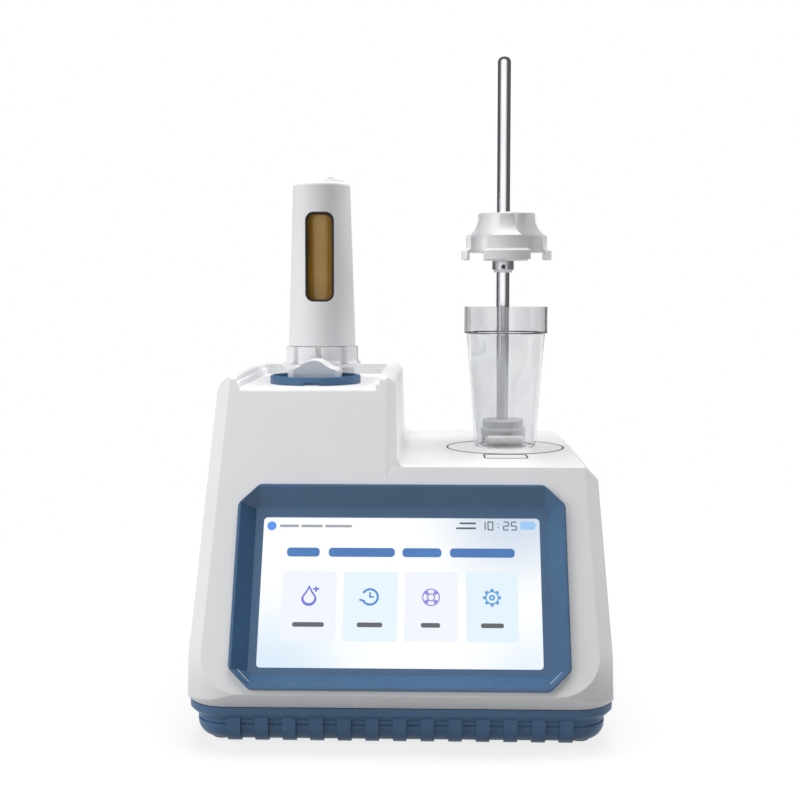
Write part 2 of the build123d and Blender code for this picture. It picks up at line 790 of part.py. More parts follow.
# ---- Beaker ----
def beaker():
    """A tapered cup with an upright rim band."""
    low, high = platform_z, platform_z + beaker_high
    step_z = high - beaker_rim_high
    w = beaker_wall
    outside = [(0, low), (beaker_foot_radius, low), (beaker_step_radius, step_z),
               (beaker_rim_radius, step_z + w / 2), (beaker_rim_radius, high)]
    inside = [(beaker_rim_radius - w, high), (beaker_rim_radius - w, step_z + w),
              (beaker_step_radius - w, step_z), (beaker_foot_radius - w, low + w), (0, low + w)]
    cup = turned(outside + inside)
    return beaker_axis * fillet(foot_edges(cup), beaker_round)


def stir_bar():
    """A capsule-shaped magnet that lies on the floor of the beaker."""
    z = platform_z + beaker_wall + stir_bar_radius + running
    start = (stand_x - stir_bar_length / 2, beaker_y, z)
    bar = cross_bar(stir_bar_radius, start, stir_bar_length, (1, 0, 0))
    return fillet(bar.edges(), stir_bar_radius * 0.9)


# ---- Burette ----
def burette_dish():
    """The shallow round dish in front of the burette, with a notch in its rim."""
    low, high = tray_floor_z, tray_floor_z + dish_high
    dish = fillet(top_edges(disc(dish_radius, low, high)), dish_rim / 2 - running)
    dish -= disc(dish_radius - dish_rim, low + dish_floor, high + 1)
    reach = (-dish_radius - 1, dish_notch_depth - dish_radius)
    dish -= block(about(0, dish_notch_width / 2), reach, (low - 1, low + dish_notch_high))
    dish = Pos(burette_x, dish_y) * dish - extrude(Pos(0, 0, valve_low_z) * valve_plan(loose), far)
    return dish - burette_axis * disc(foot_ring_radius + loose, 0, far)


def valve_plan(grow):
    """Plan of the valve block: a face with a bevelled cheek on each side."""
    left, right = burette_x - valve_left - grow, burette_x + valve_right + grow
    near, face = valve_front_y - grow, valve_face_width / 2
    cheek = valve_front_y + valve_chamfer
    return Polygon((burette_x - face, near), (burette_x + face, near), (right, cheek), (right, burette_y),
                   (left, burette_y), (left, cheek), align=None)


def valve_block():
    """The valve body: a gabled front part and a low part that runs back to the burette's foot."""
    left, right = burette_x - valve_left, burette_x + valve_right
    low, shoulder, brow = valve_low_z, valve_shoulder_z, valve_brow
    sides = Polyline([(right - brow, shoulder), (right, shoulder - brow / 2), (right, low),
                      (left, low), (left, shoulder - brow / 2), (left + brow, shoulder)])
    peak = (burette_x, valve_peak_z)
    rise = Spline([(left + brow, shoulder), peak], tangents=[(1, 0.1), (1, 0)])
    fall = Spline([peak, (right - brow, shoulder)], tangents=[(1, 0), (1, -0.1)])
    plan = extrude(Pos(0, 0, low) * valve_plan(0), far)
    raised = plan & front_view(make_face(sides + rise + fall), valve_front_y, valve_step_y)
    tail = extrude(Pos(0, 0, low) * valve_plan(0), burette_flange_z - loose - low)
    core = Pos(burette_x, valve_core_y) * disc(valve_core_radius + running, 0, valve_core_top)
    channel = cross_bar(channel_radius, (burette_x, valve_front_y + channel_start, valve_channel_z), channel_length)
    return raised + tail - burette_axis * disc(foot_ring_radius + running, 0, far) - core - channel


def valve_core():
    """Rotary valve core with a cross passage and a drive slot below."""
    play = valve_core_end
    core = Pos(burette_x, valve_core_y) * disc(valve_core_radius, valve_low_z + play, valve_core_top - play)
    start = (burette_x - valve_core_radius - 1, valve_core_y, valve_channel_z)
    core -= cross_bar(channel_radius, start, far, (1, 0, 0))
    slot_high = (valve_low_z, valve_low_z + drive_slot_width)
    return core - block(about(burette_x, drive_slot_width / 2), about(valve_core_y, drive_slot_length / 2), slot_high)


def burette_foot():
    """The round foot that stands on the tower."""
    foot = disc(foot_ring_radius, tray_floor_z, burette_flange_z)
    return burette_axis * (foot - disc(pusher_rod_radius + loose, 0, far))


def burette_flange():
    """The thin flange on the foot, with the shoulder that the collar goes round."""
    flange = disc(flange_radius, burette_flange_z, burette_flange_z + flange_thick)
    flange += disc(collar_seat_radius, burette_flange_z, barrel_bottom_z)
    return burette_axis * (flange - disc(pusher_rod_radius + loose, 0, far))


def clamp_collar():
    """The ring that clamps the burette down; each of its lugs flares out at its foot."""
    low, high = collar_bottom_z, collar_top_z
    ring = disc(collar_ring_radius, low, high)
    foot = collar_lug_radius + collar_flare
    lugs = turned([(0, low), (foot, low), (collar_lug_radius, low + collar_flare_high),
                   (collar_lug_radius, high), (0, high)])
    for turn in range(collar_lugs):
        spin = Rot(0, 0, 90 + 360 / collar_lugs * turn)
        ring += lugs & (spin * block((0, 2 * foot), about(0, collar_lug_width / 2), (low, high)))
    bore = disc(collar_bore_radius, 0, far)
    throat = disc(cover_neck_radius + loose, cover_neck_z - loose, far)
    return burette_axis * (ring - bore - throat)


def burette_cover():
    """The tapered light-tight cover with a tall window."""
    outside = [(cover_neck_radius, cover_neck_z), (cover_neck_radius, cover_skirt_z),
               (cover_skirt_radius, cover_skirt_z), (cover_top_radius, cover_top_z), (0, cover_top_z)]
    w = cover_wall
    inside = [(0, cover_top_z - w), (cover_top_radius - w, cover_top_z - w),
              (cover_neck_radius - w, cover_skirt_z + w), (cover_neck_radius - w, cover_neck_z)]
    cover = fillet(top_edges(turned(outside + inside)), cover_round)
    outline = Pos(0, (window_low_z + window_high_z) / 2) * RectangleRounded(window_width, window_high, window_round)
    return burette_axis * (cover - front_view(outline, -far, 0))


def burette_barrel():
    """Amber glass barrel, closed at the top but for its outlet."""
    tube = disc(barrel_radius, barrel_bottom_z, barrel_top_z) - disc(barrel_bore, 0, barrel_top_z - barrel_wall)
    return burette_axis * (tube - disc(outlet_radius, 0, far))


def piston():
    return burette_axis * disc(barrel_bore - 2 * running, piston_bottom_z, piston_bottom_z + piston_high)


def piston_seal():
    low = piston_bottom_z + piston_high
    return burette_axis * disc(barrel_bore - running, low, low + seal_high)


def piston_rod():
    return burette_axis * disc(piston_rod_radius, piston_rod_bottom_z, piston_bottom_z)


def burette_cap():
    cap = fillet(top_edges(disc(cap_radius, cover_top_z, cover_top_z + cap_high)), cap_high / 2)
    return Pos(burette_x + cap_offset, burette_y) * (cap - disc(knob_stem + running, 0, far))


def cap_knob():
    low = cover_top_z + cap_high
    knob = fillet(top_edges(disc(knob_radius, low, low + knob_high)), knob_high / 3)
    return Pos(burette_x + cap_offset, burette_y) * (knob + disc(knob_stem, cover_top_z, low))


# ---- Drive under the burette ----
def guide_places():
    return [Pos(burette_x + side * guide_x, screw_y) for side in (-1, 1)]


def drive_frame():
    """A standing frame: four legs and the motor plate."""
    x, y, foot = burette_x, screw_y, leg_side / 2
    plate = block(about(x, plate_half_x), about(y, plate_half_y), (motor_plate_z, motor_plate_z + plate_thick))
    for leg_x in (x - plate_half_x + foot, x + plate_half_x - foot):
        for leg_y in (y - plate_half_y + foot, y + plate_half_y - foot):
            plate += block(about(leg_x, foot), about(leg_y, foot), (floor_z, motor_plate_z))
    plate -= Pos(x, y) * disc(screw_radius + loose, 0, far)
    for place in guide_places():
        plate -= place * disc(guide_radius + running, motor_plate_z + guide_socket, far)
    return plate


def top_plate():
    """The upper plate: it steadies the screw and the pusher's rod, and the guide rods carry it."""
    x, depth = burette_x, (burette_y - top_plate_front, screw_y + top_plate_front)
    plate = block(about(x, plate_half_x), depth, (top_plate_z, top_plate_z + plate_thick))
    plate -= Pos(x, screw_y) * disc(screw_radius + running, 0, far)
    plate -= burette_axis * disc(pusher_rod_radius + running, 0, far)
    for place in guide_places():
        plate -= place * disc(guide_radius + running, 0, top_plate_z + plate_thick - guide_socket)
    return plate


def guide_rods():
    high = top_plate_z + plate_thick - guide_socket
    return [place * disc(guide_radius, motor_plate_z + guide_socket, high) for place in guide_places()]


def stepper_motor():
    body = block(about(0, motor_side / 2), about(0, motor_side / 2), (motor_bottom_z, motor_plate_z))
    body = chamfer(body.edges().filter_by(Axis.Z), motor_corner)
    return Pos(burette_x, screw_y) * (body - disc(screw_radius + running, motor_bottom_z + motor_back, far))


def lead_screw():
    low = motor_bottom_z + motor_back + 2 * running
    return Pos(burette_x, screw_y) * disc(screw_radius, low, top_plate_z + plate_thick - skin)


def pusher():
    """The carriage on the guide rods, with the nut, the arm and the rod that lifts the piston."""
    x, y = burette_x, screw_y
    bar = block(about(x, pusher_half_x), about(y, pusher_half_y), (pusher_z, pusher_z + pusher_high))
    arm = block(about(x, arm_half), (burette_y - arm_half, y), (pusher_z, pusher_z + pusher_high))
    rod = burette_axis * disc(pusher_rod_radius, pusher_z, piston_rod_bottom_z)
    body = bar + arm + rod - Pos(x, y) * disc(screw_radius + running, 0, far)
    for place in guide_places():
        body -= place * disc(guide_radius + running, 0, far)
    return body


# ---- Stirrer ----
def stirrer_bracket():
    """A round plate hung from the platform on three posts, which holds the motor."""
    plate = disc(bracket_radius, bracket_z, bracket_z + bracket_thick)
    post = Pos(bracket_post_circle) * disc(bracket_post_radius, bracket_z, platform_z - wall)
    for turn in range(3):
        plate += Rot(0, 0, 90 + 120 * turn) * post
    return beaker_axis * (plate - disc(stirrer_shaft_radius + loose, 0, far))


def stirrer_motor():
    motor = disc(stirrer_motor_radius, bracket_z - stirrer_motor_high, bracket_z)
    return beaker_axis * (motor - disc(stirrer_shaft_radius + running, bracket_z - stirrer_shaft_depth, far))


def magnet_holder():
    """The turning disc under the platform, on its shaft, with two pockets for magnets."""
    holder = disc(holder_radius, holder_z, holder_z + holder_high)
    holder += disc(stirrer_shaft_radius, bracket_z - stirrer_shaft_depth + 2 * running, holder_z)
    for side in (-1, 1):
        holder -= Pos(side * magnet_circle) * disc(magnet_radius + running, holder_z + magnet_seat, far)
    return beaker_axis * holder


def drive_magnets():
    magnet = disc(magnet_radius, holder_z + magnet_seat, holder_z + holder_high)
    return [beaker_axis * Pos(side * magnet_circle) * magnet for side in (-1, 1)]


# ---- Electronics ----
def board_posts():
    return [(x, y) for x in about(board_x, board_half_x) for y in about(board_y, board_half_y)]


def main_board():
    """The circuit board with its larger components as plain blocks."""
    top = board_z + board_thick
    board = block(about(board_x, board_half_x + board_edge), about(board_y, board_half_y + board_edge), (board_z, top))
    for x, y, wide, deep, high in board_components:
        board += Pos(board_x + x, board_y + y, top) * extrude(Rectangle(wide, deep), high)
    return board


def power_supply():
    """Open-frame supply on four short feet."""
    low = floor_z + supply_foot
    body = block(about(supply_x, supply_half_x), about(supply_y, supply_half_y), (low, low + supply_high))
    for x in about(supply_x, supply_half_x - supply_foot_in):
        for y in about(supply_y, supply_half_y - supply_foot_in):
            body += Pos(x, y) * disc(supply_foot, floor_z, low)
    return body


# ---- Back ----
def panel_screw_places():
    """Middles of the panel's screws, over the ledge that it lies on."""
    x = panel_half_x - panel_ledge / 2
    return [(side, z) for side in (-x, x) for z in (panel_low_z + panel_screw_in, panel_high_z - panel_screw_in)]


def panel_hole(x, z, wide, high):
    """A square hole through the panel, with room for what goes in it."""
    y = inlet_panel_y
    return front_view(Pos(x, z) * Rectangle(wide + seat, high + seat), y - 2 * panel_thick, y + panel_thick)


def rear_panel():
    """Sheet-metal panel with the inlet, the switch, the sockets and a row of vents."""
    y = inlet_panel_y
    panel = rear_opening(-seat, y - panel_thick, y)
    panel -= panel_hole(inlet_x, inlet_z, inlet_width, inlet_high)
    panel -= panel_hole(switch_x, inlet_z, switch_width, switch_high)
    for place in range(vent_count):
        x = switch_x - vent_from_switch + vent_pitch * (place - (vent_count - 1) / 2)
        slot = Pos(x, inlet_z) * SlotOverall(vent_high, vent_width, rotation=90)
        panel -= front_view(slot, y - 2 * panel_thick, y + panel_thick)
    for x, z in electrode_places():
        panel -= cross_bar(socket_radius + running, (x, y + 1, z), -2 * panel_thick)
    for x, wide, high in square_sockets():
        panel -= panel_hole(x, socket_z, wide, high)
    for x, z in panel_screw_places():
        panel -= cross_bar(screw_shank + loose, (x, y + 1, z), -2 * panel_thick)
    return panel


def electrode_places():
    """Middles of the electrode sockets."""
    return [(inlet_x - socket_from_inlet - socket_pitch * place, socket_z) for place in range(socket_count)]


def square_sockets():
    """Middle, width and height of the data sockets."""
    return [(inlet_x - usb_from_inlet, usb_width, usb_high), (inlet_x - serial_from_inlet, serial_width, serial_high)]


def panel_screws():
    y = inlet_panel_y
    grip = panel_thick + wall - seat
    screws = []
    for x, z in panel_screw_places():
        shank = cross_bar(screw_shank, (x, y - grip, z), grip)
        head = cross_bar(screw_head, (x, y, z), panel_screw_high)
        socket = Plane(origin=(x, y + panel_screw_high, z), z_dir=(0, -1, 0)) * RegularPolygon(hex_socket, 6)
        screws.append(shank + head - extrude(socket, hex_depth))
    return screws


def power_inlet():
    """Appliance inlet: a flanged box with a shaped cavity and three pins."""
    y, middle, lip = inlet_panel_y, Pos(inlet_x, inlet_z), inlet_flange
    flange = front_view(middle * RectangleRounded(inlet_width + 2 * lip, inlet_high + 2 * lip, lip), y, y + lip)
    box = front_view(middle * Rectangle(inlet_width, inlet_high), y - inlet_depth, y)
    mouth = Rectangle(inlet_width - 2 * inlet_wall, inlet_high - 2 * inlet_wall)
    cavity = chamfer(mouth.vertices().sort_by(Axis.Y)[-2:], inlet_cut)
    floor_y = y - inlet_cavity
    body = flange + box - front_view(middle * cavity, floor_y, y + 2 * lip)
    for x, z in ((-pin_pitch, -pin_drop), (pin_pitch, -pin_drop), (0, pin_drop)):
        pin = middle * Pos(x, z) * Rectangle(pin_wide, pin_high)
        body += front_view(pin, floor_y - 1, floor_y + pin_length)
    return body


def switch_frame():
    y, middle, w = inlet_panel_y, Pos(switch_x, inlet_z), switch_wall
    rim = RectangleRounded(switch_width + 2 * switch_flange, switch_high + 2 * switch_flange, w)
    box = front_view(middle * Rectangle(switch_width, switch_high), y - switch_depth, y)
    cavity = middle * Rectangle(switch_width - 2 * w, switch_high - 2 * w)
    body = front_view(middle * rim, y, y + switch_flange) + box
    return body - front_view(cavity, y - switch_depth + 2 * w, y + 2 * switch_flange)


def switch_rocker():
    """A rocker with two faces that meet at its middle; its ends are round about its pivot."""
    r, rise = rocker_radius, rocker_radius * tan(radians(rocker_swing))
    faces = Polygon((-r, -r), (rocker_crest, -r), (rocker_crest, 0), (rocker_crest + rise, r), (-r, r), align=None)
    side = Plane(origin=(switch_x - rocker_half, inlet_panel_y - rocker_depth, inlet_z), x_dir=(0, 1, 0),
                 z_dir=(1, 0, 0))
    return extrude(side * (Circle(r) & faces), 2 * rocker_half)


def electrode_sockets():
    """Bayonet sockets: a round body with a flange, a hollow sleeve with two lugs, and a pin."""
    y = inlet_panel_y
    sockets = []
    for x, z in electrode_places():
        body = cross_bar(socket_radius, (x, y - socket_back, z), socket_back + 1)
        body += cross_bar(socket_radius + socket_nut, (x, y, z), socket_nut_high)
        body += cross_bar(sleeve_outer, (x, y, z), sleeve_length)
        body -= cross_bar(sleeve_inner, (x, y + socket_nut_high, z), sleeve_length)
        lug = cross_bar(lug_radius, (x - sleeve_outer - lug_proud, y + sleeve_length - 2 * lug_radius, z),
                        2 * (sleeve_outer + lug_proud), (1, 0, 0))
        body += lug - cross_bar(sleeve_inner, (x, y, z), 2 * sleeve_length)
        body += cross_bar(lug_radius, (x, y, z), sleeve_length - 2 * lug_radius)
        sockets.append(body)
    return sockets


def data_sockets():
    """A USB socket and a serial socket."""
    y = inlet_panel_y
    sockets = []
    for x, wide, high in square_sockets():
        middle, room = Pos(x, socket_z), 2 * socket_wall
        shell = front_view(middle * Rectangle(wide, high), y - socket_depth, y + socket_wall)
        hollow = front_view(middle * Rectangle(wide - room, high - room), y - socket_back, y + socket_depth)
        tongue = middle * Rectangle(wide - 2 * room - 1, tongue_high)
        sockets.append(shell - hollow + front_view(tongue, y - socket_depth + 1, y - tongue_in))
    return sockets


def write(name, shape):
    """Writes one node; several separate solids of a node are kept as a group."""
    solids = shape if isinstance(shape, list) else [shape]
    export_step(Compound(children=[s for one in solids for s in one.solids()]), f"parts/{name}.step")


nodes = {
    "base_tray": base_tray, "upper_housing": upper_housing, "rubber_feet": rubber_feet,
    "housing_screws": housing_screws, "screen_bezel": screen_bezel, "touch_glass": touch_glass,
    "display_module": display_module, "rod_foot": rod_foot, "stand_rod": stand_rod,
    "head_bush": head_bush, "bush_screw": bush_screw, "titration_head": titration_head,
    "beaker": beaker, "stir_bar": stir_bar, "burette_dish": burette_dish, "valve_block": valve_block,
    "valve_core": valve_core, "burette_foot": burette_foot, "burette_flange": burette_flange,
    "clamp_collar": clamp_collar, "burette_cover": burette_cover, "burette_barrel": burette_barrel,
    "piston": piston, "piston_seal": piston_seal, "piston_rod": piston_rod, "burette_cap": burette_cap,
    "cap_knob": cap_knob, "drive_frame": drive_frame, "top_plate": top_plate, "guide_rods": guide_rods,
    "stepper_motor": stepper_motor, "lead_screw": lead_screw, "pusher": pusher,
    "stirrer_bracket": stirrer_bracket, "stirrer_motor": stirrer_motor, "magnet_holder": magnet_holder,
    "drive_magnets": drive_magnets, "main_board": main_board, "power_supply": power_supply,
    "rear_panel": rear_panel, "panel_screws": panel_screws, "power_inlet": power_inlet,
    "switch_frame": switch_frame, "switch_rocker": switch_rocker,
    "electrode_sockets": electrode_sockets, "data_sockets": data_sockets,
}
os.makedirs("parts", exist_ok=True)
for node, make in nodes.items():
    write(node, make())
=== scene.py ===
from math import cos, pi, radians, sin

import bmesh
import bpy
import numpy as np
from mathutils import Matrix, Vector


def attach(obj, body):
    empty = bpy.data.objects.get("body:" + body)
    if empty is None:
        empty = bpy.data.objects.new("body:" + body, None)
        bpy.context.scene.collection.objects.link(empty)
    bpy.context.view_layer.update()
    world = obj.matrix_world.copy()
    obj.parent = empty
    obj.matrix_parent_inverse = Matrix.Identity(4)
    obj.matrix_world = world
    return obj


# Automatic titrator: finishes, screen, prints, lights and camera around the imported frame.
# Sizes are in millimetres and turn to metres when they reach a mesh.
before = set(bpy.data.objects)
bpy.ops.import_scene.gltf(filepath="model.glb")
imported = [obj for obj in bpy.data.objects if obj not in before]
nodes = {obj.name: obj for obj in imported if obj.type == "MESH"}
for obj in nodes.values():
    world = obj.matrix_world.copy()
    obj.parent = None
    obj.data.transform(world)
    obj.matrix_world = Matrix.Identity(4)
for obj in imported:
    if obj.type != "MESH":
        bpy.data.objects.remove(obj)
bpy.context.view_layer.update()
mm = 0.001
noiseLow, noiseHigh = 0.3, 0.7  # nearly all of a noise lies between these
print("frame loaded:", len(nodes), "nodes")


def hexColour(code):
    # sRGB to linear: c / 12.92 below 0.04045, and ((c + 0.055) / 1.055) to the power 2.4 above
    c = np.array([int(code[i:i + 2], 16) / 255 for i in (1, 3, 5)])
    linear = np.where(c <= 0.04045, c / 12.92, ((c + 0.055) / 1.055) ** 2.4)
    return (*linear.tolist(), 1.0)


def addNode(tree, kind, inputs=None, stops=None, **settings):
    # adds a shader node; inputs gives each socket a value or the socket that feeds it
    made = tree.nodes.new("ShaderNode" + kind)
    for name, value in settings.items():
        setattr(made, name, value)
    for name, value in (inputs or {}).items():
        if isinstance(value, bpy.types.NodeSocket):
            tree.links.new(value, made.inputs[name])
        else:
            made.inputs[name].default_value = value
    if stops:
        ramp = made.color_ramp
        while len(ramp.elements) < len(stops):
            ramp.elements.new(0.5)
        for element, (place, colour) in zip(ramp.elements, stops):
            element.position = place
            element.color = hexColour(colour)
    return made


def startMaterial(name):
    # an empty material with the object's own coordinates, in metres
    material = bpy.data.materials.new(name)
    material.use_nodes = True
    tree = material.node_tree
    tree.nodes.clear()
    return material, tree, addNode(tree, "TexCoord").outputs["Object"]


def endMaterial(tree, inputs, normal=None):
    # one principled shader closes every surface of the object
    if normal is not None:
        inputs = {**inputs, "Normal": normal}
    shader = addNode(tree, "BsdfPrincipled", inputs)
    addNode(tree, "OutputMaterial", {"Surface": shader.outputs["BSDF"]})


def mouldedPlastic(name, look):
    # spark-eroded mould: a fine grain lifts the surface, and a broad drift changes tone and gloss a little
    material, tree, place = startMaterial(name)
    grain = addNode(tree, "TexNoise", {"Vector": place, "Scale": 1 / (look["grain"] * mm), "Detail": 2.0})
    drift = addNode(tree, "TexNoise", {"Vector": place, "Scale": 1 / (look["drift"] * mm), "Detail": 3.0})
    tone = addNode(tree, "ValToRGB", {"Fac": drift.outputs["Fac"]},
                   stops=[(noiseLow, look["dark"]), (noiseHigh, look["light"])])
    low, high = look["roughness"]
    gloss = addNode(tree, "MapRange", {"Value": grain.outputs["Fac"], "From Min": noiseLow,
                                       "From Max": noiseHigh, "To Min": low, "To Max": high})
    bump = addNode(tree, "Bump", {"Height": grain.outputs["Fac"], "Strength": look["strength"],
                                  "Distance": look["depth"] * mm})
    endMaterial(tree, {"Base Color": tone.outputs["Color"], "Roughness": gloss.outputs["Result"],
                       "IOR": look["ior"]}, bump.outputs["Normal"])
    return material


plastics = {
    # ABS moulded in a spark-eroded tool: a dense satin that scatters the light softly
    "mouldedWhiteAbs": dict(light="#EDEDEE", dark="#E8E8EA", roughness=(0.34, 0.42), ior=1.53,
                            grain=0.55, drift=60.0, depth=0.05, strength=0.12),
    # the same plastic in slate blue: a coarser grain and a duller gleam
    "mouldedBlueAbs": dict(light="#3F658A", dark="#395C7F", roughness=(0.40, 0.50), ior=1.53,
                           grain=0.6, drift=50.0, depth=0.06, strength=0.16),
    # the screen's frame comes from a smoother tool, so its slopes show a soft gleam
    "smoothBlueAbs": dict(light="#40658A", dark="#3B5D80", roughness=(0.26, 0.32), ior=1.53,
                          grain=0.5, drift=50.0, depth=0.03, strength=0.08),
    # polypropylene cover: matt, a little lighter than the housing
    "mouldedWhitePolypropylene": dict(light="#F1F1F2", dark="#ECECEE", roughness=(0.42, 0.50), ior=1.49,
                                      grain=0.5, drift=40.0, depth=0.05, strength=0.12),
    # acetal, machined and tumbled: waxy and bright
    "machinedWhiteAcetal": dict(light="#F0F0F1", dark="#EAEAEC", roughness=(0.30, 0.38), ior=1.48,
                                grain=0.4, drift=30.0, depth=0.03, strength=0.08),
    # feet of the rod and the burette: pale grey and chalky
    "mouldedPaleNylon": dict(light="#D9DADC", dark="#D0D1D4", roughness=(0.38, 0.46), ior=1.53,
                             grain=0.4, drift=25.0, depth=0.04, strength=0.12),
    # stir bar and piston: a slightly warm, dull white
    "turnedWhitePtfe": dict(light="#F4F4F2", dark="#EEEEEC", roughness=(0.38, 0.46), ior=1.38,
                            grain=0.3, drift=12.0, depth=0.03, strength=0.10),
    # moulded rubber: nearly black, and dull all round
    "mouldedDarkRubber": dict(light="#1C1C1D", dark="#151516", roughness=(0.70, 0.82), ior=1.50,
                              grain=0.5, drift=12.0, depth=0.08, strength=0.30),
    # power inlet and switch: nearly black, with a broad sheen
    "mouldedBlackNylon": dict(light="#1E1F22", dark="#17181A", roughness=(0.44, 0.56), ior=1.53,
                              grain=0.4, drift=20.0, depth=0.05, strength=0.18),
    # holder of the drive magnets: a flat dark grey
    "mouldedGreyPhenolic": dict(light="#5D6167", dark="#52565C", roughness=(0.48, 0.58), ior=1.55,
                                grain=0.5, drift=16.0, depth=0.05, strength=0.20),
    # ceramic core of the valve: cream white with a tight gleam
    "firedWhiteCeramic": dict(light="#EEEBE2", dark="#E6E2D8", roughness=(0.18, 0.26), ior=1.77,
                              grain=0.25, drift=8.0, depth=0.02, strength=0.08),
}


def workedMetal(name, look):
    # tool marks: noise squeezed along one axis leaves fine rings or lines that catch the light
    material, tree, place = startMaterial(name)
    squeeze = addNode(tree, "Mapping", {"Vector": place, "Scale": look["lines"]})
    marks = addNode(tree, "TexNoise", {"Vector": squeeze.outputs["Vector"], "Scale": 1 / (look["pitch"] * mm),
                                       "Detail": 3.0, "Roughness": 0.6})
    stain = addNode(tree, "TexNoise", {"Vector": place, "Scale": 1 / (look["drift"] * mm), "Detail": 3.0})
    tone = addNode(tree, "ValToRGB", {"Fac": stain.outputs["Fac"]},
                   stops=[(noiseLow, look["dark"]), (noiseHigh, look["light"])])
    low, high = look["roughness"]
    gloss = addNode(tree, "MapRange", {"Value": marks.outputs["Fac"], "From Min": noiseLow,
                                       "From Max": noiseHigh, "To Min": low, "To Max": high})
    bump = addNode(tree, "Bump", {"Height": marks.outputs["Fac"], "Strength": look["strength"],
                                  "Distance": look["depth"] * mm})
    endMaterial(tree, {"Base Color": tone.outputs["Color"], "Roughness": gloss.outputs["Result"],
                       "Metallic": 1.0}, bump.outputs["Normal"])
    return material


metals = {
    # stainless bar, centreless ground and polished: rings round it are only just seen
    "polishedStainlessSteel": dict(light="#C9CACC", dark="#BDBEC1", roughness=(0.10, 0.17), drift=30.0,
                                   pitch=0.35, lines=(0.15, 0.15, 1.0), depth=0.004, strength=0.10),
    # turned steel: fine rings round z that spread the light up and down
    "turnedStainlessSteel": dict(light="#C2C3C6", dark="#B4B5B9", roughness=(0.20, 0.30), drift=8.0,
                                 pitch=0.25, lines=(0.1, 0.1, 1.0), depth=0.01, strength=0.25),
    # screw of the bush: dark grey with a dull shine
    "blackenedScrewSteel": dict(light="#4A4B4E", dark="#3C3D40", roughness=(0.30, 0.40), drift=4.0,
                                pitch=0.2, lines=(0.2, 0.2, 1.0), depth=0.01, strength=0.20),
    # brushed metal: long lines along x and a streaked shine
    "brushedAluminium": dict(light="#C7C9CC", dark="#BBBDC1", roughness=(0.28, 0.40), drift=25.0,
                             pitch=0.3, lines=(0.04, 1.0, 1.0), depth=0.01, strength=0.25),
    # nickel plate: bright and a little warm
    "nickelPlatedBrass": dict(light="#CFCBC2", dark="#C3BFB6", roughness=(0.14, 0.22), drift=6.0,
                              pitch=0.3, lines=(1.0, 0.2, 1.0), depth=0.006, strength=0.15),
    # pressed steel sheet: grey and half dull
    "pressedSteelSheet": dict(light="#9EA1A6", dark="#8F9297", roughness=(0.30, 0.42), drift=18.0,
                              pitch=0.4, lines=(1.0, 0.1, 1.0), depth=0.01, strength=0.15),
}


def clearSolid(name, look):
    # a clear wall: the tint comes from its own colour, and a long drift bends the light a little
    material, tree, place = startMaterial(name)
    flow = addNode(tree, "TexNoise", {"Vector": place, "Scale": 1 / (look["flow"] * mm), "Detail": 1.0})
    tone = addNode(tree, "ValToRGB", {"Fac": flow.outputs["Fac"]},
                   stops=[(noiseLow, look["dark"]), (noiseHigh, look["light"])])
    bump = addNode(tree, "Bump", {"Height": flow.outputs["Fac"], "Strength": look["strength"],
                                  "Distance": look["depth"] * mm})
    endMaterial(tree, {"Base Color": tone.outputs["Color"], "Roughness": look["roughness"],
                       "Transmission Weight": look["clear"], "IOR": look["ior"]}, bump.outputs["Normal"])
    return material


clears = {
    # injection-moulded polystyrene cup: clear with a faint grey edge
    "mouldedClearPolystyrene": dict(light="#F2F3F4", dark="#ECEDEF", roughness=0.02, ior=1.59, clear=1.0,
                                    flow=14.0, depth=0.05, strength=0.10),
    # amber tube: under half of the light passes, and the rest comes back brown
    "drawnAmberGlass": dict(light="#E0B44A", dark="#D2A43E", roughness=0.14, ior=1.47, clear=0.45,
                            flow=20.0, depth=0.02, strength=0.05),
    # glass over the display: flat, clear and hardly seen
    "floatGlass": dict(light="#FCFDFD", dark="#F9FBFB", roughness=0.01, ior=1.50, clear=1.0,
                       flow=60.0, depth=0.005, strength=0.02),
}


def powderCoat(name, look):
    # baked powder paint: the orange-peel skin is a soft cell pattern
    material, tree, place = startMaterial(name)
    peel = addNode(tree, "TexVoronoi", {"Vector": place, "Scale": 1 / (look["peel"] * mm), "Smoothness": 1.0},
                   feature="SMOOTH_F1")
    drift = addNode(tree, "TexNoise", {"Vector": place, "Scale": 1 / (look["drift"] * mm), "Detail": 2.0})
    tone = addNode(tree, "ValToRGB", {"Fac": drift.outputs["Fac"]},
                   stops=[(noiseLow, look["dark"]), (noiseHigh, look["light"])])
    bump = addNode(tree, "Bump", {"Height": peel.outputs["Distance"], "Strength": look["strength"],
                                  "Distance": look["depth"] * mm})
    endMaterial(tree, {"Base Color": tone.outputs["Color"], "Roughness": look["roughness"],
                       "Coat Weight": 0.2}, bump.outputs["Normal"])
    return material


coats = {
    # panel at the back: light grey with a slight orange peel
    "powderCoatedGreyPanel": dict(light="#C9CBCF", dark="#C0C2C6", roughness=0.45, peel=1.1, drift=40.0,
                                  depth=0.06, strength=0.25),
    # bodies of the motors: dark and satin
    "powderCoatedBlackMotor": dict(light="#232427", dark="#1B1C1E", roughness=0.42, peel=0.9, drift=20.0,
                                   depth=0.05, strength=0.25),
}


board = dict(mask="#1F5A36", shade="#1B4F30", track="#2F7A4B", pitch=5.0, gap=0.05, depth=0.06, strength=0.3,
             roughness=0.3)


